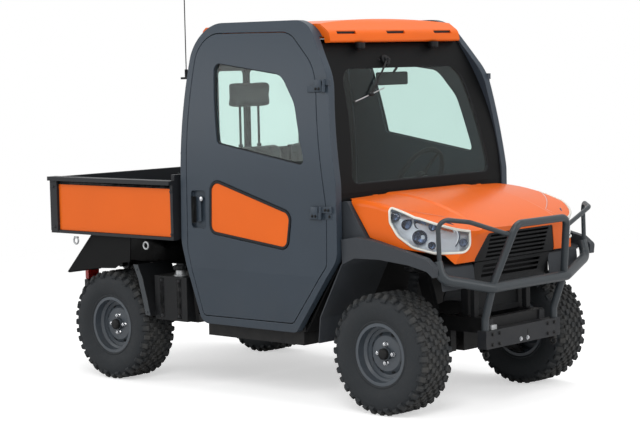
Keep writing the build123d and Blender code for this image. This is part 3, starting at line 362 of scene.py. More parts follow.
PAINTS = {  # finish: (material's name, colour or the name of its setting, roughness, other values)
    "orange": ("Orange paint", "orange", 0.36, dict(
        grain=90, grain_depth=0.025, wear=0.15, wear_colour=(0.95, 0.36, 0.12), dust=0.06, shelf=0.02,
        drift=0.03, roughness_swing=0.08, Specular_IOR_Level=0.14, Coat_Weight=0.10, Coat_Roughness=0.18)),
    "cab_grey": ("Cab grey", "cab_grey", 0.42, dict(
        grain=260, grain_depth=0.08, wear=0.35, wear_colour=(0.13, 0.15, 0.18), dust_top=0.8, dust=0.12,
        drift=0.06, edge=0.006, Specular_IOR_Level=0.25)),
    "frame_black": ("Frame black", "frame_black", 0.42, dict(
        grain=320, grain_depth=0.10, wear=0.5, wear_colour=(0.06, 0.062, 0.066), dust_top=0.8, dust=0.12,
        Specular_IOR_Level=0.17)),
    "cab_black": ("Cab black", (0.0035, 0.0038, 0.0042), 0.5, dict(
        grain=320, grain_depth=0.12, wear=0.4, wear_colour=(0.03, 0.031, 0.033), dust=0.04, shelf=0.02,
        Specular_IOR_Level=0.09)),
    "bed": ("Bed black", "bed_black", 0.47, dict(
        grain=240, grain_depth=0.16, wear=0.7, wear_colour=(0.10, 0.10, 0.105), dust_top=1.3, dust=0.08,
        Specular_IOR_Level=0.22)),
    "plastic": ("Black plastic", "plastic_black", 0.50, dict(
        grain=520, grain_depth=0.22, wear=0.35, wear_colour=(0.04, 0.04, 0.044), dust_top=0.8, dust=0.10,
        edge=0.004, Specular_IOR_Level=0.17)),
    # Fender plastic whose lighter colour is a painted sheen of black plastic.
    "sheen_flare": ("Flare plastic, painted sheen", "flare_black_painted_sheen", 0.58, dict(
        grain=420, grain_depth=0.3, wear=0.4, wear_colour=(0.08, 0.083, 0.09), dust_top=1.0, dust=0.12,
        edge=0.005, Specular_IOR_Level=0.25)),
    "guard": ("Guard grey", "guard_grey", 0.38, dict(
        grain=300, grain_depth=0.08, wear=0.4, wear_colour=(0.16, 0.17, 0.18), dust_top=0.8, dust=0.10,
        Specular_IOR_Level=0.35)),
    "rim": ("Rim grey", "rim_grey", 0.33, dict(
        grain=220, grain_depth=0.06, wear=0.5, wear_colour=(0.12, 0.13, 0.15), dust_top=0.6, dust=0.15,
        edge=0.002, Specular_IOR_Level=0.45)),
    "rubber": ("Rubber", "rubber", 0.68, dict(
        grain=600, grain_depth=0.15, wear=0.2, wear_colour=(0.045, 0.045, 0.045), dust_top=0.8, dust=0.12,
        edge=0.002, Specular_IOR_Level=0.2)),
    "engine": ("Engine metal", (0.10, 0.10, 0.105), 0.6, dict(
        grain=140, grain_depth=0.3, wear=0.3, dust=0.6, shelf=0.3, Metallic=0.6)),
    "vinyl": ("Seat vinyl", (0.028, 0.028, 0.031), 0.5, dict(
        grain=330, grain_depth=0.35, wear=0.3, wear_colour=(0.06, 0.06, 0.065), dust_top=0.5, dust=0.0,
        shelf=0.08, edge=0.004, Sheen_Weight=0.15)),
    "pale": ("Galvanised steel", (0.36, 0.37, 0.38), 0.45, dict(
        grain=60, grain_depth=0.05, wear=0.3, dust=0.3, Metallic=0.7)),
}
METALS = {  # finish: (material's name, colour, roughness)
    "chrome": ("Chrome", (0.60, 0.61, 0.63), 0.16),
    "steel": ("Zinc plate", (0.55, 0.56, 0.58), 0.32),
    # Dark blue metal of the small reflector cells: a painted reflection of dark surroundings in their chrome.
    "dark_reflection_dish": ("Dark reflector", (0.05, 0.075, 0.13), 0.25),
    "pale_dish": ("Bright reflector", (0.93, 0.95, 0.96), 0.10),
}
LAMP_PLASTICS = {  # finish: (material's name, colour)
    "lamp_bowl": ("Lamp bowl", (0.62, 0.68, 0.74)),
    "lamp_rim": ("Lamp rim", (0.80, 0.79, 0.72)),
}
FINISH_OF = {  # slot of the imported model: finish
    "painted_orange": "orange", "cab_grey": "cab_grey", "frame_black": "frame_black", "guard_grey": "guard",
    "rim_grey": "rim", "tyre": "rubber", "black_plastic": "plastic", "cab_glass": "glass",
    "lamp_lens": "lens", "red_lens": "red", "seat_vinyl": "vinyl", "black_rubber": "rubber",
    "bright_steel": "chrome", "engine_metal": "engine",
}
SLOT_OF = {finish: slot for slot, finish in FINISH_OF.items()} | {  # finish: slot of the pieces that have it
    "bed": "frame_black", "screen": "black_plastic", "steel": "bright_steel", "pale": "bright_steel",
    "dark_reflection_dish": "bright_steel", "pale_dish": "bright_steel", "lamp_bowl": "lamp_lens",
    "lamp_rim": "lamp_lens",
}
MATERIALS = {}  # finish: material, made once by the finish operator


def screen_mesh():
    """Black wire screen: fine square holes as a bump and as a darker colour, the painted shade seen through
    them.
    """
    material, tree, shader = blank_material("Wire screen", Roughness=0.6, Specular_IOR_Level=0.15)
    wires = node(tree, "ShaderNodeTexBrick", Scale=110.0)
    wires.offset = 0.0
    for label, value in (("Mortar Size", 0.03), ("Brick Width", 1.0), ("Row Height", 1.0)):
        wires.inputs[label].default_value = value
    turned = node(tree, "ShaderNodeMapping")
    turned.inputs["Rotation"].default_value = (math.radians(90), 0, math.radians(90))
    link(tree, object_place(tree), turned.inputs["Vector"])
    link(tree, turned.outputs[0], wires.inputs["Vector"])
    # The holes are painted darker than the wires: painted shade of what lies behind the screen.
    hole_shade, wire = (0.002, 0.002, 0.0024), (0.012, 0.0125, 0.014)
    link(tree, mix_colour(tree, wires.outputs["Fac"], hole_shade, wire), shader.inputs["Base Color"])
    bumped(tree, shader, wires.outputs["Fac"], 0.5, 0.002)
    return material


def tyre_rubber(corner, centre):
    """Tyre rubber, dusty at the root of the blocks and brown where the tread has run."""
    name = "Tyre rubber " + corner.replace("_", " ")
    material, tree, shader = blank_material(name, Specular_IOR_Level=0.22)
    paint = bpy.context.scene.vehicle_paint
    centred = node(tree, "ShaderNodeMapping")
    centred.inputs["Location"].default_value = -centre
    link(tree, object_place(tree), centred.inputs["Vector"])
    split = node(tree, "ShaderNodeSeparateXYZ")
    link(tree, centred.outputs[0], split.inputs[0])
    flat = node(tree, "ShaderNodeCombineXYZ")
    link(tree, split.outputs["X"], flat.inputs["X"])
    link(tree, split.outputs["Z"], flat.inputs["Z"])
    reach = node(tree, "ShaderNodeVectorMath", operation="LENGTH")
    link(tree, flat.outputs[0], reach.inputs[0])
    tread = map_range(tree, reach.outputs["Value"], 0.285, 0.306)
    cloud = noise(tree, centred.outputs[0], 14, 8, 0.65)
    fine = noise(tree, centred.outputs[0], 120, 4)
    grey = mix_colour(tree, cloud, paint.rubber, [1.9 * part for part in paint.rubber])
    dusty = maths(tree, "MULTIPLY", map_range(tree, cloud, 0.3, 0.7), maths(tree, "MULTIPLY", tread, 0.30))
    side = maths(tree, "MULTIPLY", map_range(tree, fine, 0.35, 0.8), 0.05)
    amount = maths(tree, "ADD", dusty, side, True)
    link(tree, mix_colour(tree, amount, grey, paint.dust), shader.inputs["Base Color"])
    link(tree, map_range(tree, cloud, 0.2, 0.8, 0.55, 0.85), shader.inputs["Roughness"])
    bumped(tree, shader, maths(tree, "ADD", fine, maths(tree, "MULTIPLY", cloud, 2.0)), 0.35, 0.001)
    return material


def clouded(tree, shader, cloud, base, deepest):
    """Colour that a noise darkens, at most by a share, into a shader."""
    link(tree, mix_colour(tree, cloud, base, [deepest * part for part in base]), shader.inputs["Base Color"])


def bright_metal(name, base, roughness):
    """Plated or polished metal with a trace of smudges."""
    material, tree, shader = blank_material(name, Metallic=1.0)
    cloud = noise(tree, object_place(tree), 30, 6)
    clouded(tree, shader, cloud, base, 0.85)
    smudged = map_range(tree, cloud, 0.25, 0.75, roughness * 0.6, roughness * 1.5)
    link(tree, smudged, shader.inputs["Roughness"])
    return material


def lamp_plastic(name, base):
    """Pale moulded plastic of the lamps."""
    material, tree, shader = blank_material(name, Roughness=0.3, Specular_IOR_Level=0.5)
    clouded(tree, shader, noise(tree, object_place(tree), 18, 4), base, 0.9)
    return material


def clear_glass(name, tint, ior):
    """Tinted glass with faint smears in its gloss."""
    material, tree, shader = blank_material(name, Transmission_Weight=1.0, IOR=ior, Metallic=0.0)
    smear = noise(tree, object_place(tree), 5, 8, 0.7)
    clouded(tree, shader, smear, tint, 0.96)
    link(tree, map_range(tree, smear, 0.45, 0.8, 0.0, 0.03), shader.inputs["Roughness"])
    return material


def red_lens():
    """Red moulded lens with fine vertical optics."""
    material, tree, shader = blank_material("Red lens", Roughness=0.12, Coat_Weight=0.5)
    flutes = node(tree, "ShaderNodeTexWave", Scale=60.0, bands_direction="Y")
    link(tree, object_place(tree), flutes.inputs["Vector"])
    deep, pale = (0.32, 0.008, 0.008), (0.55, 0.02, 0.015)
    link(tree, mix_colour(tree, flutes.outputs["Fac"], deep, pale), shader.inputs["Base Color"])
    bumped(tree, shader, flutes.outputs["Fac"], 0.3, 0.001)
    return material


# ---------------------------------------------------------------- mesh helpers
def to_object(bm, name):
    """Object in the scene from a bmesh, which is freed."""
    mesh = bpy.data.meshes.new(name)
    bm.to_mesh(mesh)
    bm.free()
    made = bpy.data.objects.new(name, mesh)
    bpy.context.scene.collection.objects.link(made)
    return made


def smooth_shaded(mesh):
    """Shade all faces of a mesh smooth."""
    mesh.polygons.foreach_set("use_smooth", [True] * len(mesh.polygons))


def finished(bm, name, body, finish, slot=None):
    """Turn a bmesh into a smooth-shaded piece that rides on a body, with its place in its mesh."""
    bmesh.ops.recalc_face_normals(bm, faces=bm.faces)
    piece = to_object(bm, name)
    piece.data.materials.append(MATERIALS[finish])
    smooth_shaded(piece.data)
    piece.data.set_sharp_from_angle(angle=SMOOTH_BELOW)
    slot = slot or SLOT_OF[finish]
    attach(piece, body)
    return piece


def rounded(bm, edges, offset, segments=2, **values):
    """Bevel edges; returns the vertices that this makes."""
    return bmesh.ops.bevel(
        bm, geom=list(edges), offset=offset, segments=segments, profile=0.5, affect="EDGES", material=-1,
        **values,
    )["verts"]


def edges_of(verts):
    """Edges that meet in vertices."""
    return {edge for vert in verts for edge in vert.link_edges}


def axis_frame(point, direction):
    """Matrix that stands local +Z along a direction at a point."""
    return Matrix.Translation(point) @ Vector(direction).to_track_quat("Z", "Y").to_matrix().to_4x4()


def cube_between(bm, low, high):
    """Sharp box from a low to a high corner; returns its vertices. A side that falls comes out as a sheet."""
    size = [max(side, 1e-5) for side in (high - low)]
    matrix = Matrix.Translation((low + high) / 2) @ Matrix.Diagonal((*size, 1))
    return bmesh.ops.create_cube(bm, size=1, matrix=matrix)["verts"]


def add_block(bm, low, high, bevel=0.0, turn=None):
    """Box between two corners, with rounded edges, turned by a matrix after it is placed."""
    made = cube_between(bm, Vector(low), Vector(high))
    if turn is not None:
        bmesh.ops.transform(bm, matrix=turn, verts=made)
    if bevel:
        rounded(bm, edges_of(made), bevel)


def add_disc(bm, point, direction, radius, depth, sides=24, tip_radius=None, bevel=0.0):
    """Cylinder or cone that starts at a point and runs along a direction."""
    matrix = axis_frame(point, direction) @ Matrix.Translation((0, 0, depth / 2))
    made = bmesh.ops.create_cone(
        bm, cap_ends=True, segments=sides, radius1=radius,
        radius2=radius if tip_radius is None else tip_radius, depth=depth, matrix=matrix,
    )["verts"]
    if bevel:
        rims = {edge for edge in edges_of(made) if max(len(face.verts) for face in edge.link_faces) > 4}
        rounded(bm, rims, bevel)


def spin_round(bm, geom, centre, direction, steps):
    """Spin geometry once round an axis and close it."""
    bmesh.ops.spin(
        bm, geom=geom, cent=centre, axis=Vector(direction), dvec=(0, 0, 0), angle=math.tau, steps=steps,
        use_merge=True, use_duplicate=False,
    )


def add_lathe(bm, profile, point, direction, steps=64):
    """Spin a profile of (along the axis, radius) once round an axis through a point."""
    matrix = axis_frame(point, direction)
    verts = [bm.verts.new(matrix @ Vector((radius, 0, along))) for along, radius in profile]
    edges = [bm.edges.new(pair) for pair in zip(verts, verts[1:])]
    spin_round(bm, verts + edges, point, direction, steps)


def add_torus(bm, centre, direction, radius, thickness, steps=40):
    """Round ring about an axis through its centre."""
    offset = Matrix.Translation((radius, 0, 0)) @ Matrix.Rotation(math.radians(90), 4, "X")
    circle = bmesh.ops.create_circle(
        bm, segments=12, radius=thickness, matrix=axis_frame(centre, direction) @ offset
    )["verts"]
    spin_round(bm, circle + list(edges_of(circle)), centre, direction, steps)


def add_tube(bm, points, radius, closed=False, kind="POLY"):
    """Round tube along points, straight or as one smooth curve."""
    curve = bpy.data.curves.new("tube_path", "CURVE")
    curve.dimensions = "3D"
    curve.bevel_depth = radius
    curve.bevel_resolution = 3
    curve.resolution_u = 10
    curve.use_fill_caps = not closed
    spline = curve.splines.new(kind)
    spline.points.add(len(points) - 1)
    for spot, point in zip(spline.points, points):
        spot.co = (*point, 1)
    spline.use_cyclic_u = closed
    if kind == "NURBS":
        spline.order_u = 3
        spline.use_endpoint_u = not closed
    holder = bpy.data.objects.new("tube_path", curve)
    mesh = bpy.data.meshes.new_from_object(holder)
    bm.from_mesh(mesh)
    bpy.data.objects.remove(holder)
    bpy.data.meshes.remove(mesh)
    bpy.data.curves.remove(curve)


def add_bolt(bm, point, direction, radius):
    """Hexagon head on its washer."""
    add_disc(bm, point, direction, radius * 1.45, radius * 0.22, 20)
    start = Vector(point) + Vector(direction).normalized() * radius * 0.2
    add_disc(bm, start, direction, radius * 1.08, radius * 0.8, 6, bevel=radius * 0.1)


def merged_copy(name):
    """Bmesh of a CAD node with its loose triangles joined."""
    bm = bmesh.new()
    bm.from_mesh(NODES[name].data)
    bmesh.ops.remove_doubles(bm, verts=bm.verts, dist=1e-5)
    bm.normal_update()
    return bm


def chains(edges):
    """Runs of points along edges that meet end to end, each closed or open."""
    left, runs = dict.fromkeys(edges), []
    while left:
        edge = next(iter(left))
        del left[edge]
        start, here = edge.verts
        run = [start.co.copy(), here.co.copy()]
        while onward := next((other for other in here.link_edges if other in left), None):
            del left[onward]
            here = onward.other_vert(here)
            if here is start:
                break
            run.append(here.co.copy())
        runs.append(run)
    return runs


def outlines(name, direction):
    """Closed loops of points round the faces of a CAD node that look along a direction."""
    bm = merged_copy(name)
    facing = {face for face in bm.faces if face.normal.dot(direction) > 0.5}
    loops = chains([edge for edge in bm.edges if sum(face in facing for face in edge.link_faces) == 1])
    bm.free()
    return [loop for loop in loops if len(loop) > 3]


TREES = {}  # CAD node's name: search tree of its faces, made once


def touch(name, point, direction):
    """Where a line from a point first meets a CAD node: (place, outward normal), or None."""
    if name not in TREES:
        bm = merged_copy(name)
        TREES[name] = BVHTree.FromBMesh(bm)
        bm.free()
    place, normal = TREES[name].ray_cast(Vector(point), Vector(direction))[:2]
    return None if place is None else (place, normal)


def wheel_centre(corner):
    """Middle of a wheel, from the box of its tyre."""
    low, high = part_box(corner + "_tyre")
    return (low + high) / 2


def round_wheel(share):
    """Direction from a wheel's middle, by its share of a turn."""
    return Vector((math.cos(math.tau * share), 0, math.sin(math.tau * share)))


def outwards(name):
    """Direction away from the middle of the vehicle, by a name that starts with its side."""
    return LEFT if name.startswith("left") else -LEFT


# ---------------------------------------------------------------- operators
class VEHICLE_OT_finishes(bpy.types.Operator):
    """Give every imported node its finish"""

    bl_idname = "vehicle.finishes"
    bl_label = "Finishes"

    own_finish = {  # node: finish other than its slot's
        "bed_tub": "bed", "tailgate": "bed", "front_bumper": "bed", "rear_bumper": "bed",
        "front_fenders": "sheen_flare", "mudguards": "cab_black", "windshield_frame": "cab_black",
        "cab_rear_wall": "cab_black", "firewall": "cab_black",
    }

    def execute(self, context):
        paint = context.scene.vehicle_paint
        for finish, (name, base, roughness, values) in PAINTS.items():
            base = getattr(paint, base) if isinstance(base, str) else base
            MATERIALS[finish] = surface_material(name, base, roughness, **values)
        for finish, values in METALS.items():
            MATERIALS[finish] = bright_metal(*values)
        for finish, values in LAMP_PLASTICS.items():
            MATERIALS[finish] = lamp_plastic(*values)
        MATERIALS.update(
            red=red_lens(), screen=screen_mesh(), glass=clear_glass("Cab glass", paint.glass, 1.22),
            lens=clear_glass("Lamp lens", (0.97, 0.98, 0.99), 1.35),
        )
        for part in frame["record"]["subparts"]:
            owner = NODES[part["node"]]
            if not owner.material_slots:
                owner.data.materials.append(None)
            finish = self.own_finish.get(part["node"], FINISH_OF[part["material_slot"]])
            for place in owner.material_slots:
                place.material = MATERIALS[finish]
        return {"FINISHED"}


class VEHICLE_OT_tyres(bpy.types.Operator):
    """Tyres with their carcass and knobby tread"""

    bl_idname = "vehicle.tyres"
    bl_label = "Tyres"

    carcass = [  # (outwards from the middle, radius), from bead to crown
        (0.094, 0.1528), (0.0965, 0.161), (0.104, 0.167), (0.1065, 0.172), (0.1040, 0.178), (0.1085, 0.186),
        (0.1165, 0.202), (0.1215, 0.222), (0.1232, 0.245), (0.1205, 0.266), (0.1135, 0.284), (0.102, 0.2960),
        (0.080, 0.3022), (0.045, 0.3050),
    ]
    rows = [  # (across, shift in pitches, width, length, height over the carcass's crown radius)
        (0.0145, 0.0, 0.023, 0.034, 0.0125), (-0.0145, 0.5, 0.023, 0.034, 0.0125),
        (0.0430, 0.62, 0.024, 0.032, 0.0122), (-0.0430, 0.12, 0.024, 0.032, 0.0122),
        (0.0710, 0.18, 0.024, 0.033, 0.0105), (-0.0710, 0.68, 0.024, 0.033, 0.0105),
    ]
    crown_radius, sunk = 0.305, 0.006  # of the carcass; depth of a block's root in it
    shoulders = (  # for every second block: (size, lean in degrees, across, radius)
        ((0.034, 0.050, 0.022), 48, 0.1055, 0.2955),
        ((0.030, 0.036, 0.022), 34, 0.099, 0.3015),
    )

    def add_knob(self, bm, size, draw_in, bevel, pose):
        """Block whose outer face is drawn in and bevelled, put in its place by a matrix."""
        made = bmesh.ops.create_cube(bm, size=1, matrix=Matrix.Diagonal((*size, 1)))["verts"]
        outer = [vert for vert in made if vert.co.z > 0]
        bmesh.ops.scale(bm, vec=(*draw_in, 1), verts=outer)
        rims = {edge for edge in edges_of(outer) if all(vert in outer for vert in edge.verts)}
        grown = rounded(bm, rims, bevel, 1)
        bmesh.ops.transform(bm, matrix=pose, verts=[vert for vert in {*made, *grown} if vert.is_valid])

    def pose(self, centre, turn, across, reach, lean):
        """Place of a block round the wheel, leaning about the direction of travel."""
        seat = Matrix.Translation((0, across, reach)) @ Matrix.Rotation(lean, 4, "X")
        return Matrix.Translation(centre) @ Matrix.Rotation(turn, 4, "Y") @ seat

    def execute(self, context):
        pitches = context.scene.vehicle_tyres.pitches
        step = math.tau / pitches
        for corner in CORNERS:
            centre = wheel_centre(corner)
            bm = bmesh.new()
            profile = self.carcass + [(-along, radius) for along, radius in reversed(self.carcass)]
            add_lathe(bm, profile, centre, LEFT, 96)
            for index in range(pitches):
                for across, shift, width, span, height in self.rows:
                    tall = height + self.sunk
                    reach = self.crown_radius - self.sunk + tall / 2
                    pose = self.pose(centre, (index + shift) * step, across, reach, -across * 1.6)
                    self.add_knob(bm, (span, width, tall), (0.84, 0.82), 0.0022, pose)
                size, lean, across, reach = self.shoulders[index % 2]
                for side, shift in ((-1, 0.95), (1, 0.45)):
                    turn = (index + shift) * step
                    pose = self.pose(centre, turn, side * across, reach, -side * math.radians(lean))
                    self.add_knob(bm, size, (0.8, 0.88), 0.003, pose)
            MATERIALS[corner + "_tyre"] = tyre_rubber(corner, centre)
            piece = finished(bm, corner + "_tread", corner + "_wheel", corner + "_tyre", "tyre")
            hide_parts(corner + "_tyre")
        return {"FINISHED"}


class VEHICLE_OT_wheel_trim(bpy.types.Operator):
    """Wheel nuts and hub caps"""

    bl_idname = "vehicle.wheel_trim"
    bl_label = "Wheel trim"

    nut_circle, nut_count, nut_radius, nut_face = 0.050, 4, 0.0105, 0.046
    cap_face = 0.0615
    cap_profile = [
        (0.0, 0.030), (0.006, 0.0305), (0.016, 0.029), (0.021, 0.025), (0.023, 0.018), (0.0235, 0.0),
    ]

    def execute(self, context):
        for corner in CORNERS:
            out, centre = outwards(corner), wheel_centre(corner)
            nuts, cap = bmesh.new(), bmesh.new()
            for index in range(self.nut_count):
                start = centre + round_wheel(index / self.nut_count) * self.nut_circle + out * self.nut_face
                add_disc(nuts, start, out, self.nut_radius * 1.35, 0.004, 24, self.nut_radius * 1.05)
                add_disc(nuts, start + out * 0.003, out, self.nut_radius, 0.014, 6, bevel=0.0012)
                add_disc(nuts, start + out * 0.016, out, 0.006, 0.006, 12, bevel=0.001)
            add_lathe(cap, self.cap_profile, centre + out * self.cap_face, out, 40)
            finished(nuts, corner + "_wheel_nuts", corner + "_wheel", "chrome")
            finished(cap, corner + "_hub_cap", corner + "_wheel", "plastic")
        return {"FINISHED"}


class VEHICLE_OT_rim_opening_shade(bpy.types.Operator):
    """Dark oval discs round the cone of each rim: painted shade of the rim's openings"""

    bl_idname = "vehicle.rim_recesses"
    bl_label = "Rim openings"

    count, ring, face = 8, 0.1035, 0.0385
    radius, depth, oval = 0.0072, 0.0018, 1.7
    slope = (0.573, 0.819)  # of the cone: away from the axle, outwards

    def execute(self, context):
        for corner in CORNERS:
            out, centre = outwards(corner), wheel_centre(corner)
            bm = bmesh.new()
            for index in range(self.count):
                around = round_wheel((index + 0.5) / self.count)
                normal = (around * self.slope[0] + out * self.slope[1]).normalized()
                place = centre + around * self.ring + out * self.face
                sideways = normal.cross(around).normalized()
                made = bmesh.ops.create_cone(
                    bm, cap_ends=True, segments=24, radius1=self.radius, radius2=self.radius,
                    depth=self.depth, matrix=axis_frame(place, normal),
                )["verts"]
                stretch = Matrix.Scale(self.oval, 4, sideways)
                bmesh.ops.transform(
                    bm, matrix=Matrix.Translation(place) @ stretch @ Matrix.Translation(-place), verts=made
                )
            # Dark rubber discs in place of the openings: painted shade of what lies behind them.
            finished(bm, corner + "_rim_opening_shade", corner + "_wheel", "rubber", "rim_grey")
        return {"FINISHED"}


class VEHICLE_OT_headlamps(bpy.types.Operator):
    """Headlamps: clear lens, pale rim, bowl, main lamp and the small reflectors behind it, whose dark blue is
    a painted reflection
    """

    bl_idname = "vehicle.headlamps"
    bl_label = "Headlamps"

    cells = [  # (along the corner, z, radius)
        (0.292, 1.028, 0.024), (0.345, 0.990, 0.025), (0.408, 0.926, 0.036), (0.412, 1.000, 0.031),
        (0.470, 0.980, 0.019), (0.466, 0.886, 0.019), (0.630, 0.893, 0.020),
    ]
    main_lamp = (0.540, 0.926, 0.064)
    dish = ((-0.45, 0.12), (-0.42, 0.30), (-0.25, 0.72), (0.0, 0.98), (0.04, 1.0), (0.04, 1.08), (-0.1, 1.08))
    far_ahead = 1.8  # a place in front of the lamps
    rim_radius, ring_radius = 0.0068, 0.0042

    def behind_lens(self, side, look, along, z, radius):
        """Point in a lamp from which a dish of this radius clears the lens all round."""
        reach = []
        for index in range(9):
            turn = math.tau * index / 8
            size = radius * 1.1 if index < 8 else 0.0
            start = self.spot(side, along + math.cos(turn) * size, z + math.sin(turn) * size, self.far_ahead)
            hit = touch("headlamps", start, -look)
            if hit and hit[1].dot(look) > 0.2:
                reach.append(hit[0].dot(look))
        return self.spot(side, along, z, min(reach) - 0.006 - 0.05 * radius)

    def spot(self, side, along, z, ahead):
        """Point from its place along the front corner, its height and its distance ahead of the origin."""
        near = (ahead - along) * math.sqrt(0.5)
        return Vector(((ahead + along) * math.sqrt(0.5), side * near, z))

    def reflector(self, bm, point, look, radius):
        """Round dish with a bulb shield in its middle."""
        add_lathe(bm, [(along * radius, reach * radius) for along, reach in self.dish], point, look, 40)
        add_disc(bm, point - look * radius * 0.42, look, radius * 0.26, radius * 0.3, 20, radius * 0.14)

    def shells(self, side, look):
        """Outer skin of a lamp, the part of it that looks up, and the skin behind."""
        lens, bowl = merged_copy("headlamps"), merged_copy("headlamps")
        for bm, keep_lens in ((lens, True), (bowl, False)):
            bmesh.ops.delete(bm, geom=[vert for vert in bm.verts if vert.co.y * side < 0], context="VERTS")
            gone = [face for face in bm.faces if (face.normal.dot(look) > 0.05) != keep_lens]
            bmesh.ops.delete(bm, geom=gone, context="FACES")
        brow = lens.copy()
        for bm, keep_top in ((lens, False), (brow, True)):
            gone = [face for face in bm.faces if (face.normal.z > 0.8) != keep_top]
            bmesh.ops.delete(bm, geom=gone, context="FACES")
        return lens, brow, bowl

    def execute(self, context):
        for side, name in SIDES:
            look = Vector((1, side, 0)).normalized()
            lens, brow, bowl = self.shells(side, look)
            loop = max(chains([edge for edge in lens.edges if edge.is_boundary]), key=len)
            for bm, wall in ((lens, 0.0025), (bowl, -0.0015), (brow, 0.003)):
                bmesh.ops.solidify(bm, geom=bm.faces, thickness=wall)
            rim, dishes, main = bmesh.new(), bmesh.new(), bmesh.new()
            add_tube(rim, loop, self.rim_radius, closed=True)
            for along, z, radius in self.cells:
                self.reflector(dishes, self.behind_lens(side, look, along, z, radius), look, radius)
            radius = self.main_lamp[2]
            middle = self.behind_lens(side, look, *self.main_lamp)
            self.reflector(main, middle, look, radius)
            add_torus(dishes, middle, look, radius * 1.1, self.ring_radius)
            diffuser = [(-0.014, radius * 0.9), (-0.005, radius * 0.7), (0.0, radius * 0.4), (0.0015, 0.0)]
            add_lathe(main, diffuser, middle, look, 40)
            finished(brow, name + "_lamp_brow", "hood", "orange")
            shell = finished(lens, name + "_lamp_lens", "hood", "lens")
            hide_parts("headlamps")
            for bm, suffix, finish in (
                (bowl, "_lamp_bowl", "lamp_bowl"), (rim, "_lamp_rim", "lamp_rim"),
                (dishes, "_lamp_cells", "dark_reflection_dish"), (main, "_lamp_main", "pale_dish"),
            ):
                finished(bm, name + suffix, "hood", finish)
        return {"FINISHED"}


class VEHICLE_OT_screens(bpy.types.Operator):
    """Wire screens behind the grille and the fascia"""

    bl_idname = "vehicle.screens"
    bl_label = "Screens"

    def leaning_plate(self, bm, low, high, top_share, lean):
        """Thin upright plate that narrows towards its top and leans forward as it rises."""
        low, high = Vector(low), Vector(high)
        made = cube_between(bm, low, high)
        top = [vert for vert in made if vert.co.z > (low.z + high.z) / 2]
        bmesh.ops.scale(bm, vec=(1, top_share, 1), verts=top)
        bmesh.ops.translate(bm, vec=(lean * (high.z - low.z), 0, 0), verts=top)

    def execute(self, context):
        grille, fascia = bmesh.new(), bmesh.new()
        self.leaning_plate(grille, (1.2975, -0.348, 0.775), (1.3000, 0.348, 0.922), 0.80, 0.3)
        self.leaning_plate(fascia, (1.2600, -0.328, 0.658), (1.2625, 0.328, 0.790), 1.0, 0.22)
        for side in (1, -1):
            add_block(fascia, (1.213, side * 0.3345, 0.658), (1.3065, side * 0.3370, 0.760))
        finished(grille, "grille_screen", "hood", "screen")
        finished(fascia, "fascia_screen", "chassis", "screen")
        return {"FINISHED"}


class VEHICLE_OT_seals(bpy.types.Operator):
    """Rubber seals round the panes and the door inserts"""

    bl_idname = "vehicle.seals"
    bl_label = "Seals"

    def execute(self, context):
        trim = context.scene.vehicle_trim
        rows = [  # (node, direction, radius, body)
            (name + end, LEFT * side, radius, name + "_door")
            for end, radius in (("_door_glass", trim.seal_radius), ("_door_insert", trim.insert_seal_radius))
            for side, name in SIDES
        ] + [("cab_glass", FORWARD, trim.seal_radius, "chassis")]
        for name, direction, radius, body in rows:
            bm = bmesh.new()
            for loop in outlines(name, direction):
                add_tube(bm, loop, radius, closed=True)
            finished(bm, name + "_seal", body, "rubber")
        return {"FINISHED"}


class VEHICLE_OT_wiper(bpy.types.Operator):
    """Windshield wiper: motor, arm, spine and blade"""

    bl_idname = "vehicle.wiper"
    bl_label = "Wiper"

    shaft = (-0.119, 1.825)  # y and z of the motor
    blade_line = ((-0.205, 1.674), (-0.27, 1.658), (-0.335, 1.642), (-0.40, 1.626), (-0.467, 1.610))

    def on_glass(self, y, z, off):
        """Point a little ahead of the windshield."""
        hits = [touch(name, (1.4, y, z), -FORWARD) for name in ("cab_glass", "windshield_frame")]
        place, normal = max((hit for hit in hits if hit), key=lambda hit: hit[0].x)
        return place + normal * off

    def execute(self, context):
        motor, arm, spine, blade = (bmesh.new() for _ in range(4))
        pivot, back = (self.on_glass(*self.shaft, off) for off in (0.020, 0.0005))
        way = (pivot - back).normalized()
        add_disc(motor, back, way, 0.031, 0.014, 32, bevel=0.003)
        add_disc(motor, back + way * 0.012, way, 0.017, 0.014, 24, bevel=0.002)
        add_bolt(motor, back + way * 0.026, way, 0.007)
        for y in (-0.165, -0.073):
            add_bolt(motor, self.on_glass(y, 1.830, 0.0), way, 0.006)
        bend, hold = self.on_glass(-0.20, 1.755, 0.034), self.on_glass(-0.335, 1.642, 0.021)
        add_tube(arm, [pivot, bend, hold], 0.0055, kind="NURBS")
        add_disc(arm, hold - LEFT * 0.016, LEFT, 0.009, 0.032, 16, bevel=0.002)
        for bm, off, radius in ((blade, 0.0045, 0.0035), (spine, 0.0115, 0.0034)):
            add_tube(bm, [self.on_glass(y, z, off) for y, z in self.blade_line], radius, kind="NURBS")
        for bm, name, finish in (
            (motor, "motor", "plastic"), (arm, "arm", "frame_black"), (spine, "spine", "pale"),
            (blade, "blade", "rubber"),
        ):
            finished(bm, "wiper_" + name, "chassis", finish)
        return {"FINISHED"}


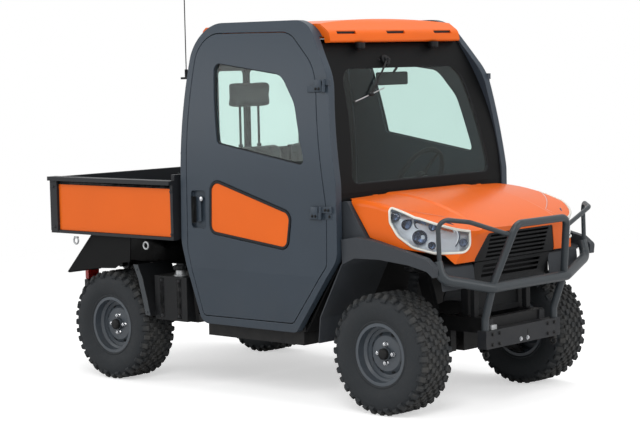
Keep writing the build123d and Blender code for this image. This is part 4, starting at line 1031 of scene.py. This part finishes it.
class VEHICLE_OT_door_fittings(bpy.types.Operator):
    """Paddle handles, lock barrels, and the leaves and bolts of the door hinges"""

    bl_idname = "vehicle.door_fittings"
    bl_label = "Door fittings"

    lock = (-0.258, 1.085)  # x and z
    hinge_heights = (1.040, 1.704)
    door_leaf_x, post_leaf_x, leaf_half = 0.596, 0.683, (0.026, 0.032)
    bolt_columns, bolt_rise = (0.584, 0.606, 0.672, 0.694), 0.017

    def execute(self, context):
        radius = context.scene.vehicle_trim.bolt_radius * 0.75
        wide, tall = self.leaf_half
        for side, name in SIDES:
            out, door = LEFT * side, name + "_door"
            paddle, barrel, door_leaf, post_leaf, door_bolts, post_bolts = (bmesh.new() for _ in range(6))
            seat = abs(touch(door, (-0.282, side * OUTSIDE, 1.03), -out)[0].y)
            near, far = side * (seat + 0.004), side * (seat + 0.0165)
            add_block(paddle, (-0.326, near, 0.950), (-0.296, far, 1.098), 0.004)
            near, far = side * (seat - 0.0005), side * (seat + 0.006)
            for z in (0.962, 1.086):
                add_block(paddle, (-0.322, near, z - 0.008), (-0.300, far, z + 0.008), 0.001)
            x, z = self.lock
            add_disc(barrel, Vector((x, near, z)), out, 0.0125, 0.006, 32, bevel=0.001)
            add_disc(barrel, Vector((x, side * (seat + 0.005), z)), out, 0.0085, 0.003, 24, bevel=0.0008)
            for height in self.hinge_heights:
                for leaf, owner, x in (
                    (door_leaf, door, self.door_leaf_x), (post_leaf, "cab_sides", self.post_leaf_x)
                ):
                    hit = touch(owner, (x, side * OUTSIDE, height - 0.030), -out)
                    if hit and abs(hit[1].y) > 0.9:
                        turn = axis_frame(*hit) @ Matrix.Translation((0, 0.030, 0))
                        add_block(leaf, (-wide, -tall, -0.001), (wide, tall, 0.0028), 0.001, turn)
                for x in self.bolt_columns:
                    for z in (height - self.bolt_rise, height + self.bolt_rise):
                        hits = [
                            (*hit, bolts) for owner, bolts in ((door, door_bolts), ("cab_sides", post_bolts))
                            if (hit := touch(owner, (x, side * OUTSIDE, z), -out))
                        ]
                        if not hits:
                            continue
                        place, normal, bolts = max(hits, key=lambda hit: abs(hit[0].y))
                        if abs(normal.y) > 0.9:
                            add_bolt(bolts, place + out * 0.0022, out, radius)
            for bm, suffix, owner, finish in (
                (paddle, "_door_paddle", door, "plastic"), (barrel, "_door_lock", door, "steel"),
                (door_leaf, "_door_hinge_leaves", door, "cab_grey"),
                (post_leaf, "_post_hinge_leaves", "chassis", "cab_grey"),
                (door_bolts, "_door_hinge_bolts", door, "frame_black"),
                (post_bolts, "_post_hinge_bolts", "chassis", "frame_black"),
            ):
                if bm.verts:
                    finished(bm, name + suffix, owner, finish)
        return {"FINISHED"}


class VEHICLE_OT_bed_fittings(bpy.types.Operator):
    """Bed lips, tie-down rings, bolts, splash shields, tailgate latches and floor ribs"""

    bl_idname = "vehicle.bed_fittings"
    bl_label = "Bed fittings"

    rings = ((-1.280, 0.830), (-0.677, 0.830))  # x and z
    shield_y, shield_low, shield_high = (0.448, 0.4515), (-1.195, 0.668), (-0.560, 0.8515)  # span; x and z
    stiffeners, stiffener_y = (-1.15, -0.87, -0.60), 0.436
    latch_y, rib_count, rib_pitch = 0.66, 9, 0.145

    def side_fittings(self, side, name, radius):
        """Lip, rings and bolts on one side of the bed."""
        low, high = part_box("bed_panels")
        out, face = LEFT * side, high.y if side > 0 else -low.y
        lip, rings, plates = bmesh.new(), bmesh.new(), bmesh.new()
        inner, outer = side * (face - 0.008), side * (face + 0.008)
        add_block(lip, (low.x - 0.004, inner, high.z - 0.021), (high.x + 0.004, outer, high.z + 0.002), 0.002)
        for x, z in self.rings:
            inner, outer = side * 0.765, side * 0.790
            add_block(plates, (x - 0.020, inner, z - 0.006), (x + 0.020, outer, z + 0.002), 0.0015)
            add_torus(rings, Vector((x, side * 0.780, z - 0.022)), out, 0.0195, 0.0052)
        for x in (low.x - 0.030, high.x + 0.011):
            for z in (0.880, 1.120):
                hit = touch("bed_tub", (x, side * OUTSIDE, z), -out)
                if hit and abs(hit[1].y) > 0.9:
                    add_bolt(plates, hit[0] - out * 0.0004, out, radius)
        finished(lip, name + "_bed_lip", "bed", "bed")
        finished(rings, name + "_tie_down_rings", "bed", "pale")
        finished(plates, name + "_bed_plates", "bed", "bed")

    def execute(self, context):
        for side, name in SIDES:
            self.side_fittings(side, name, context.scene.vehicle_trim.bolt_radius)
        shields, latches, handles, ribs = (bmesh.new() for _ in range(4))
        (x_low, z_low), (x_high, z_high) = self.shield_low, self.shield_high
        gate_low, gate_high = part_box("tailgate")
        rear, top = gate_low.x, gate_high.z
        for side in (1, -1):
            inner, outer = (side * y for y in self.shield_y)
            add_block(shields, (x_low, inner, z_low), (x_high, outer, z_high), 0.001)
            inner = side * self.stiffener_y
            for x in self.stiffeners:
                low, high = (x - 0.012, inner, z_low + 0.008), (x + 0.012, outer, z_high - 0.001)
                add_block(shields, low, high, 0.001)
            y = side * self.latch_y
            low, high = (rear - 0.010, y - 0.035, top - 0.085), (rear + 0.001, y + 0.035, top - 0.030)
            add_block(latches, low, high, 0.003)
            low, high = (rear - 0.019, y - 0.012, top - 0.125), (rear - 0.009, y + 0.012, top - 0.045)
            add_block(handles, low, high, 0.003)
            for end in (-0.025, 0.025):
                add_bolt(latches, Vector((rear - 0.0095, y + end, top - 0.042)), -FORWARD, 0.0045)
        floor = touch("bed_tub", (-1.0, 0, 1.6), -UP)[0].z
        rear, front = (corner.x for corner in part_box("bed_tub"))
        for index in range(self.rib_count):
            y = (index - (self.rib_count - 1) / 2) * self.rib_pitch
            low, high = (rear + 0.10, y - 0.022, floor - 0.001), (front - 0.10, y + 0.022, floor + 0.006)
            add_block(ribs, low, high, 0.0025)
        finished(shields, "bed_splash_shields", "bed", "plastic")
        finished(latches, "tailgate_latches", "tailgate", "plastic")
        finished(handles, "tailgate_latch_handles", "tailgate", "steel")
        finished(ribs, "bed_floor_ribs", "bed", "bed")
        return {"FINISHED"}


class VEHICLE_OT_side_box_fittings(bpy.types.Operator):
    """Filler neck and cap, and the straps of the boxes between the cab and the rear wheels"""

    bl_idname = "vehicle.side_box_fittings"
    bl_label = "Side box fittings"

    filler = (-0.545, -0.640)  # x and y
    neck_profile = [
        (-0.001, 0.0), (-0.001, 0.040), (0.006, 0.040), (0.009, 0.030), (0.034, 0.028), (0.034, 0.0),
    ]
    cap_profile = [
        (0.0345, 0.0), (0.0345, 0.039), (0.040, 0.041), (0.056, 0.040), (0.061, 0.035), (0.062, 0.0),
    ]
    grips, grip_ring = 12, 0.0405
    straps = (-0.64, -0.50)  # x

    def execute(self, context):
        cap, neck, straps = (bmesh.new() for _ in range(3))
        centre = Vector((*self.filler, touch("side_boxes", (-0.56, -0.60, 1.0), -UP)[0].z))
        add_lathe(neck, self.neck_profile, centre, UP, 40)
        add_lathe(cap, self.cap_profile, centre, UP, 48)
        for index in range(self.grips):
            turn = math.tau * index / self.grips
            grip = Vector((math.cos(turn) * self.grip_ring, math.sin(turn) * self.grip_ring, 0.038))
            add_disc(cap, centre + grip, UP, 0.003, 0.019, 10)
        low, high = Vector((-0.030, -0.006, 0.0615)), Vector((0.030, 0.006, 0.070))
        add_block(cap, centre + low, centre + high, 0.002)
        for side in (1, -1):
            out = LEFT * side
            for x in self.straps:
                y = abs(touch("side_boxes", (x, side * OUTSIDE, 0.50), -out)[0].y)
                inner, outer = side * (y - 0.001), side * (y + 0.0035)
                add_block(straps, (x - 0.016, inner, 0.392), (x + 0.016, outer, 0.618), 0.001)
                for z in (0.405, 0.605):
                    add_bolt(straps, Vector((x, side * (y + 0.003), z)), out, 0.006)
        finished(neck, "filler_neck", "chassis", "pale")
        finished(cap, "filler_cap", "chassis", "plastic")
        finished(straps, "side_box_straps", "chassis", "bed")
        return {"FINISHED"}


class VEHICLE_OT_front_fittings(bpy.types.Operator):
    """Bumper bolts, tow eyes, a dark block as painted shade of a slot, a pale tab as a painted highlight, and
    the faces of the work lights
    """

    bl_idname = "vehicle.front_fittings"
    bl_label = "Front fittings"

    work_lights = ((0.557, -0.315, 1.896), (0.557, 0.315, 1.896))
    bezel_profile = [(0.0, 0.0), (0.0, 0.022), (-0.004, 0.022), (-0.004, 0.0175), (-0.001, 0.017)]
    lens_profile = [(-0.0015, 0.0168), (-0.0035, 0.012), (-0.0045, 0.0)]

    def execute(self, context):
        radius = context.scene.vehicle_trim.bolt_radius
        face = touch("front_bumper", (1.8, 0.12, 0.38), -FORWARD)[0].x
        dark, pale, bright, bezels, lenses = (bmesh.new() for _ in range(5))
        # Thin darker block where the bumper has a slot: painted shade of the slot's hollow.
        add_block(dark, (face - 0.002, 0.031, 0.362), (face + 0.0012, 0.039, 0.398), 0.0005)
        # Pale tab on the bumper's top edge: its pale colour is a painted highlight.
        add_block(pale, (face - 0.028, -0.276, 0.4245), (face - 0.004, -0.230, 0.452), 0.003)
        for y in (-0.275, -0.215, 0.215, 0.275):
            for z in (0.350, 0.405):
                add_bolt(dark, Vector((face - 0.0004, y, z)), FORWARD, radius)
        for y in (-0.030, 0.030):
            add_bolt(bright, Vector((face - 0.0004, y, 0.352)), FORWARD, radius * 1.1)
        for side in (1, -1):
            add_block(dark, (face - 0.05, side * 0.285, 0.312), (face - 0.012, side * 0.315, 0.331), 0.002)
            add_torus(dark, Vector((face - 0.028, side * 0.300, 0.300)), LEFT, 0.016, 0.006, 32)
        for place in self.work_lights:
            add_lathe(bezels, self.bezel_profile, Vector(place), UP, 36)
            add_lathe(lenses, self.lens_profile, Vector(place), UP, 36)
        for bm, name, finish in (
            (dark, "bumper_bolts_and_painted_slot_shade", "frame_black"), (pale, "bumper_tab_painted_highlight", "pale"),
            (bright, "bumper_bright_bolts", "steel"), (bezels, "work_light_bezels", "plastic"),
            (lenses, "work_light_lenses", "steel"),
        ):
            finished(bm, name, "chassis", finish)
        return {"FINISHED"}


class VEHICLE_OT_dashboard_fittings(bpy.types.Operator):
    """Instruments, vents, switches and levers on the dashboard"""

    bl_idname = "vehicle.dashboard_fittings"
    bl_label = "Dashboard fittings"

    vents = (-0.50, -0.12, 0.24, 0.56)  # y
    vent_frame = (  # (low, high) across the vent
        ((-0.052, -0.022), (0.052, -0.016)), ((-0.052, 0.016), (0.052, 0.022)),
        ((-0.052, -0.018), (-0.046, 0.018)), ((0.046, -0.018), (0.052, 0.018)),
    )
    levers = (  # (foot, knee, knob, knob radius)
        ((0.560, 0.165, 1.020), (0.500, 0.165, 1.075), (0.455, 0.160, 1.125), 0.019),
        ((0.560, 0.085, 0.985), (0.505, 0.085, 1.020), (0.465, 0.080, 1.060), 0.016),
        ((0.565, -0.060, 0.960), (0.515, -0.060, 0.985), (0.480, -0.060, 1.020), 0.014),
    )
    knob_profile = ((-1, 0), (-0.8, 0.6), (0, 1), (0.8, 0.7), (1.05, 0))  # times the knob's radius

    def face(self, y, z):
        """Place and normal on the dashboard's rear face."""
        return touch("dashboard", (-0.2, y, z), FORWARD)

    def execute(self, context):
        trim, knobs, dials = bmesh.new(), bmesh.new(), bmesh.new()
        for y in self.vents:
            turn = axis_frame(*self.face(y, 1.048))
            for low, high in self.vent_frame:
                add_block(trim, (*low, -0.001), (*high, 0.006), 0.001, turn)
            for row in range(4):
                level = -0.012 + row * 0.008
                add_block(trim, (-0.047, level - 0.001, -0.001), (0.047, level + 0.001, 0.0035), 0, turn)
        place, normal = self.face(0.38, 1.02)
        cluster = axis_frame(place, normal)
        add_block(trim, (-0.100, -0.030, -0.003), (0.100, 0.030, 0.010), 0.006, cluster)
        for along in (-0.055, 0.0, 0.055):
            centre = cluster @ Vector((along, 0, 0.0095))
            add_lathe(dials, [(0.0, 0.021), (0.0012, 0.021), (0.0012, 0.0)], centre, normal, 36)
            add_torus(trim, centre + normal * 0.001, normal, 0.0225, 0.0016, 36)
        for index in range(5):
            turn = axis_frame(*self.face(-0.28 + index * 0.032, 0.985))
            add_block(trim, (-0.011, -0.016, -0.001), (0.011, 0.016, 0.005), 0.002, turn)
        for foot, knee, knob, size in self.levers:
            add_tube(trim, [foot, knee, knob], 0.0055, kind="NURBS")
            profile = [(along * size, reach * size) for along, reach in self.knob_profile]
            add_lathe(knobs, profile, Vector(knob), Vector(knob) - Vector(knee), 28)
        finished(trim, "dashboard_trim", "chassis", "plastic")
        finished(knobs, "lever_knobs", "chassis", "rubber")
        finished(dials, "dial_faces", "chassis", "pale")
        return {"FINISHED"}


class VEHICLE_OT_body_trim(bpy.types.Operator):
    """Dark plates in the roof slots as painted shade, lighter strips on the rear arches' front edges as
    painted highlights, and the cab's rear clips
    """

    bl_idname = "vehicle.body_trim"
    bl_label = "Body trim"

    # Lighter grey strip on the front edge of each rear wheel arch: a painted highlight of the rounded black
    # plastic edge.
    highlight_strip_rows = ((-0.830, 0.688), (-0.793, 0.612), (-0.762, 0.507), (-0.735, 0.402))  # x and z
    guard_width, guard_y = 0.038, 0.7425
    slot_step, slot_reach = 0.004, 0.56  # of the search for slots: its step, and how far out it starts

    def slot_places(self):
        """Slots in the roof's front edge, where its face lies deeper than beside them: (start, end, x)."""
        found, start, floor = [], None, 0.0
        face = touch("roof", (1.2, 0.0, 1.960), -FORWARD)[0].x
        for index in range(281):
            y = index * self.slot_step - self.slot_reach
            hit = touch("roof", (1.2, y, 1.980), -FORWARD)
            if hit and hit[0].x < face - 0.012 and abs(y) < 0.53:
                start, floor = y if start is None else start, hit[0].x
            elif start is not None:
                found.append((start, y - self.slot_step, floor))
                start = None
        return found

    def execute(self, context):
        slot_shade_plates = bmesh.new()
        for start, end, x in self.slot_places():
            if end - start > 0.02:
                # Dark plate on the slot floor: painted shade of the deep slot.
                add_block(slot_shade_plates, (x - 0.0005, start - 0.001, 1.9745), (x + 0.002, end + 0.001, 1.9855))
        if slot_shade_plates.verts:
            finished(slot_shade_plates, "roof_slot_shade_plates", "chassis", "frame_black", "black_plastic")
        for side, name in SIDES:
            strip, clip = bmesh.new(), bmesh.new()
            # Painted highlight strip, with two bolts on it.
            verts = [strip.verts.new((x, side * self.guard_y, z)) for x, z in self.highlight_strip_rows]
            edges = [strip.edges.new(pair) for pair in zip(verts, verts[1:])]
            grown = bmesh.ops.extrude_edge_only(strip, edges=edges)["geom"]
            moved = [item for item in grown if isinstance(item, bmesh.types.BMVert)]
            bmesh.ops.translate(strip, vec=(self.guard_width, 0, 0), verts=moved)
            bmesh.ops.solidify(strip, geom=list(strip.faces), thickness=0.001)
            for x, z in ((-0.801, 0.660), (-0.722, 0.420)):
                add_bolt(strip, Vector((x, side * self.guard_y, z)), LEFT * side, 0.006)
            finished(strip, name + "_arch_edge_highlight", "chassis", "guard")
            hit = touch("cab_sides", (-0.9, side * 0.700, 1.333), FORWARD)
            if hit:
                x = hit[0].x
                add_block(clip, (x - 0.030, side * 0.685, 1.312), (x + 0.001, side * 0.712, 1.354), 0.003)
                add_bolt(clip, Vector((x - 0.0295, side * 0.6985, 1.333)), -FORWARD, 0.007)
                finished(clip, name + "_rear_clip", "chassis", "plastic")
        return {"FINISHED"}


class VEHICLE_OT_seats(bpy.types.Operator):
    """Two padded seats: cushions, backs and headrests with sewn channels, their posts and shells"""

    bl_idname = "vehicle.seats"
    bl_label = "Seats"

    pads = (  # (name, side outline as (x, z), y span, edge rounding, channels across it, how far it swells)
        ("cushion", ((-0.196, 0.772), (0.118, 0.772), (0.126, 0.850), (0.096, 0.872), (-0.196, 0.856)),
         (0.062, 0.528), 0.022, (0.175, 0.295, 0.415), 0.010),
        ("back", ((-0.350, 0.778), (-0.214, 0.790), (-0.258, 1.325), (-0.282, 1.362), (-0.340, 1.358)),
         (0.066, 0.524), 0.024, (0.175, 0.295, 0.415), 0.009),
        ("headrest", ((-0.338, 1.584), (-0.268, 1.582), (-0.264, 1.700), (-0.280, 1.716), (-0.330, 1.716)),
         (0.153, 0.437), 0.020, (), 0.006),
    )
    voxel, frames, pressure = 0.0085, 20, 4.0
    channel_depth, channel_width = 0.0075, 0.0065
    post_x, post_places, post_radius = -0.304, (0.220, 0.370), 0.007

    def blank(self, name, outline, span, rounding):
        """Closed block with a side outline, drawn in between its corners and rounded."""
        bm = bmesh.new()
        face = bm.faces.new([bm.verts.new((x, span[0], z)) for x, z in outline])
        grown = bmesh.ops.extrude_face_region(bm, geom=[face])["geom"]
        moved = [item for item in grown if isinstance(item, bmesh.types.BMVert)]
        bmesh.ops.translate(bm, vec=(0, span[1] - span[0], 0), verts=moved)
        bmesh.ops.recalc_face_normals(bm, faces=bm.faces)
        rounded(bm, bm.edges, rounding, 3, clamp_overlap=True)
        return to_object(bm, name)

    def applied(self, pad):
        """Turn what a pad's modifiers make into its mesh."""
        graph = bpy.context.evaluated_depsgraph_get()
        pad.data = bpy.data.meshes.new_from_object(pad.evaluated_get(graph))
        pad.modifiers.clear()

    def swell(self, pad, most):
        """Blow a pad up as cloth under pressure, and cap how far each point moves."""
        scene = bpy.context.scene
        rest = [vert.co.copy() for vert in pad.data.vertices]
        cloth = pad.modifiers.new("cloth", "CLOTH")
        cloth.settings.use_pressure = True
        cloth.settings.uniform_pressure_force = self.pressure
        cloth.settings.effector_weights.gravity = 0.0
        cloth.point_cache.frame_start, cloth.point_cache.frame_end = 1, self.frames
        for step in range(1, self.frames + 1):
            scene.frame_set(step)
            graph = bpy.context.evaluated_depsgraph_get()
            blown = pad.evaluated_get(graph)
        found = [vert.co.copy() for vert in blown.data.vertices]
        pad.modifiers.remove(cloth)
        scene.frame_set(1)
        for vert, start, end in zip(pad.data.vertices, rest, found):
            move = end - start
            if move.length > most:
                move *= most / move.length
            vert.co = start + move

    def smoothed(self, mesh):
        """Even out the voxels' steps."""
        bm = bmesh.new()
        bm.from_mesh(mesh)
        for _ in range(2):
            bmesh.ops.smooth_vert(
                bm, verts=bm.verts, factor=0.5, use_axis_x=True, use_axis_y=True, use_axis_z=True
            )
        bm.to_mesh(mesh)
        bm.free()

    def stitched(self, mesh, channels):
        """Draw sewn channels into the faces of a pad."""
        for vert in mesh.vertices:
            for place in channels:
                away = abs(vert.co.y) - place
                if abs(away) < 0.02:
                    depth = self.channel_depth * math.exp(-((away / self.channel_width) ** 2))
                    vert.co -= vert.normal * depth

    def mirror_of(self, pad, name):
        """The same pad on the other side of the vehicle."""
        bm = bmesh.new()
        bm.from_mesh(pad.data)
        bmesh.ops.scale(bm, vec=(1, -1, 1), verts=bm.verts)
        bmesh.ops.recalc_face_normals(bm, faces=bm.faces)
        return to_object(bm, name)

    def execute(self, context):
        for name, outline, span, rounding, channels, most in self.pads:
            pad = self.blank("left_seat_" + name, outline, span, rounding)
            remesh = pad.modifiers.new("remesh", "REMESH")
            remesh.mode, remesh.voxel_size = "VOXEL", self.voxel
            self.applied(pad)
            self.swell(pad, most)
            self.smoothed(pad.data)
            finer = pad.modifiers.new("finer", "SUBSURF")
            finer.levels = finer.render_levels = 1
            self.applied(pad)
            self.stitched(pad.data, channels)
            for piece in (pad, self.mirror_of(pad, "right_seat_" + name)):
                piece.data.materials.clear()
                piece.data.materials.append(MATERIALS["vinyl"])
                smooth_shaded(piece.data)
                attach(piece, "chassis")
                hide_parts("seats")
        posts, shells = bmesh.new(), bmesh.new()
        x = self.post_x
        for side in (1, -1):
            for y in self.post_places:
                add_tube(posts, [(x, side * y, 1.340), (x, side * y, 1.600)], self.post_radius)
                add_disc(posts, Vector((x, side * y, 1.352)), UP, 0.013, 0.016, 24, bevel=0.003)
            add_block(shells, (-0.361, side * 0.075, 0.795), (-0.352, side * 0.515, 1.345), 0.004)
            add_block(shells, (-0.190, side * 0.075, 0.7605), (0.112, side * 0.515, 0.770), 0.003)
        finished(posts, "headrest_posts", "chassis", "frame_black")
        finished(shells, "seat_shells", "chassis", "plastic")
        return {"FINISHED"}


class VEHICLE_OT_studio(bpy.types.Operator):
    """Camera, lights, floor and background"""

    bl_idname = "vehicle.studio"
    bl_label = "Studio"

    lamps = [  # (name, place, aim, size, watts)
        ("key", (5.0, -6.0, 5.5), (0.2, 0, 0.9), 4.0, 310),
        ("fill", (-5.5, -6.5, 3.5), (0, 0, 0.9), 4.5, 150),
        ("top", (0.0, 0.5, 6.5), (0, 0, 1.0), 5.0, 180),
        ("front", (8.0, 2.5, 3.0), (0, 0, 0.9), 4.0, 130),
    ]

    def camera(self, scene):
        """Camera, set by its place, turn, dip and roll."""
        studio = scene.vehicle_studio
        turn, dip, roll = studio.camera_azimuth, studio.camera_dip, studio.camera_roll
        ahead = Vector((-math.sin(turn) * math.cos(dip), math.cos(turn) * math.cos(dip), -math.sin(dip)))
        right = Vector((math.cos(turn), math.sin(turn), 0))
        up = right.cross(ahead)
        leaned_right = right * math.cos(roll) + up * math.sin(roll)
        leaned_up = up * math.cos(roll) - right * math.sin(roll)
        data = bpy.data.cameras.new("camera")
        data.lens, data.sensor_width = studio.lens, 36.0
        data.clip_end = 200
        holder = bpy.data.objects.new("camera", data)
        turned = Matrix((leaned_right, leaned_up, -ahead)).transposed().to_4x4()
        holder.matrix_world = Matrix.Translation(studio.camera_place) @ turned
        scene.collection.objects.link(holder)
        scene.camera = holder

    def background(self, scene):
        """White for the camera, gloss and glass; a plain level of light for everything else."""
        world = bpy.data.worlds.new("background")
        world.use_nodes = True
        scene.world = world
        tree = world.node_tree
        shader = tree.nodes["Background"]
        path = node(tree, "ShaderNodeLightPath")
        seen = maths(tree, "MAXIMUM", path.outputs["Is Camera Ray"], path.outputs["Is Glossy Ray"])
        seen = maths(tree, "MAXIMUM", seen, path.outputs["Is Transmission Ray"])
        shader.inputs["Color"].default_value = (1, 1, 1, 1)
        link(tree, map_range(tree, seen, 0.0, 1.0, 0.38, 1.0), shader.inputs["Strength"])

    def floor(self, scene):
        """Pale floor that fades into the background."""
        material, tree, shader = blank_material("Studio floor", Roughness=0.9)
        shader.inputs["Base Color"].default_value = (0.88, 0.88, 0.88, 1)
        shader.inputs["Emission Color"].default_value = (1, 1, 1, 1)
        path = node(tree, "ShaderNodeLightPath")
        seen = maths(tree, "MAXIMUM", path.outputs["Is Camera Ray"], path.outputs["Is Transmission Ray"])
        link(tree, maths(tree, "MULTIPLY", seen, 0.52), shader.inputs["Emission Strength"])
        place = object_place(tree)
        reach = node(tree, "ShaderNodeVectorMath", operation="LENGTH")
        link(tree, place, reach.inputs[0])
        radius = scene.vehicle_studio.floor_radius
        fade = map_range(tree, reach.outputs["Value"], radius * 0.3, radius * 0.95)
        clear = node(tree, "ShaderNodeBsdfTransparent")
        mixed = node(tree, "ShaderNodeMixShader")
        link(tree, fade, mixed.inputs[0])
        link(tree, shader.outputs[0], mixed.inputs[1])
        link(tree, clear.outputs[0], mixed.inputs[2])
        link(tree, mixed.outputs[0], tree.nodes["Material Output"].inputs["Surface"])
        bm = bmesh.new()
        bmesh.ops.create_circle(bm, cap_ends=True, radius=radius, segments=96)
        ground = to_object(bm, "floor")
        ground.data.materials.append(material)

    def execute(self, context):
        scene = context.scene
        self.camera(scene)
        self.background(scene)
        self.floor(scene)
        for name, place, aim, size, watts in self.lamps:
            data = bpy.data.lights.new(name, "AREA")
            data.shape, data.size, data.energy = "DISK", size, watts
            lamp = bpy.data.objects.new(name, data)
            direction = Vector(aim) - Vector(place)
            turn = direction.to_track_quat("-Z", "Y").to_matrix().to_4x4()
            lamp.matrix_world = Matrix.Translation(place) @ turn
            scene.collection.objects.link(lamp)
        scene.view_settings.view_transform = "Standard"
        return {"FINISHED"}


OPERATORS = (
    VEHICLE_OT_finishes, VEHICLE_OT_tyres, VEHICLE_OT_wheel_trim, VEHICLE_OT_rim_opening_shade,
    VEHICLE_OT_headlamps, VEHICLE_OT_screens, VEHICLE_OT_seals, VEHICLE_OT_wiper, VEHICLE_OT_door_fittings,
    VEHICLE_OT_bed_fittings, VEHICLE_OT_side_box_fittings, VEHICLE_OT_front_fittings,
    VEHICLE_OT_dashboard_fittings, VEHICLE_OT_body_trim, VEHICLE_OT_seats, VEHICLE_OT_studio,
)


class VEHICLE_PT_panel(bpy.types.Panel):
    """Panel that lists the operators in their order"""

    bl_idname = "VEHICLE_PT_panel"
    bl_label = "Utility vehicle"
    bl_space_type = "VIEW_3D"
    bl_region_type = "UI"
    bl_category = "Utility vehicle"

    def draw(self, context):
        for operator in OPERATORS:
            self.layout.operator(operator.bl_idname)


SETTINGS = {  # name on the scene: property group
    "vehicle_paint": PaintSettings,
    "vehicle_tyres": TyreSettings,
    "vehicle_trim": TrimSettings,
    "vehicle_studio": StudioSettings,
}


def register():
    """Register the classes and hang the settings on the scene."""
    for kind in (*SETTINGS.values(), *OPERATORS, VEHICLE_PT_panel):
        bpy.utils.register_class(kind)
    for name, kind in SETTINGS.items():
        setattr(bpy.types.Scene, name, PointerProperty(type=kind))


def unregister():
    """Undo register."""
    for name in SETTINGS:
        delattr(bpy.types.Scene, name)
    for kind in reversed((*SETTINGS.values(), *OPERATORS, VEHICLE_PT_panel)):
        bpy.utils.unregister_class(kind)


def main():
    """Run every operator in order."""
    register()
    for operator in OPERATORS:
        family, name = operator.bl_idname.split(".")
        getattr(getattr(bpy.ops, family), name)()
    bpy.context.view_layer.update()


if __name__ == "__main__":
    main()
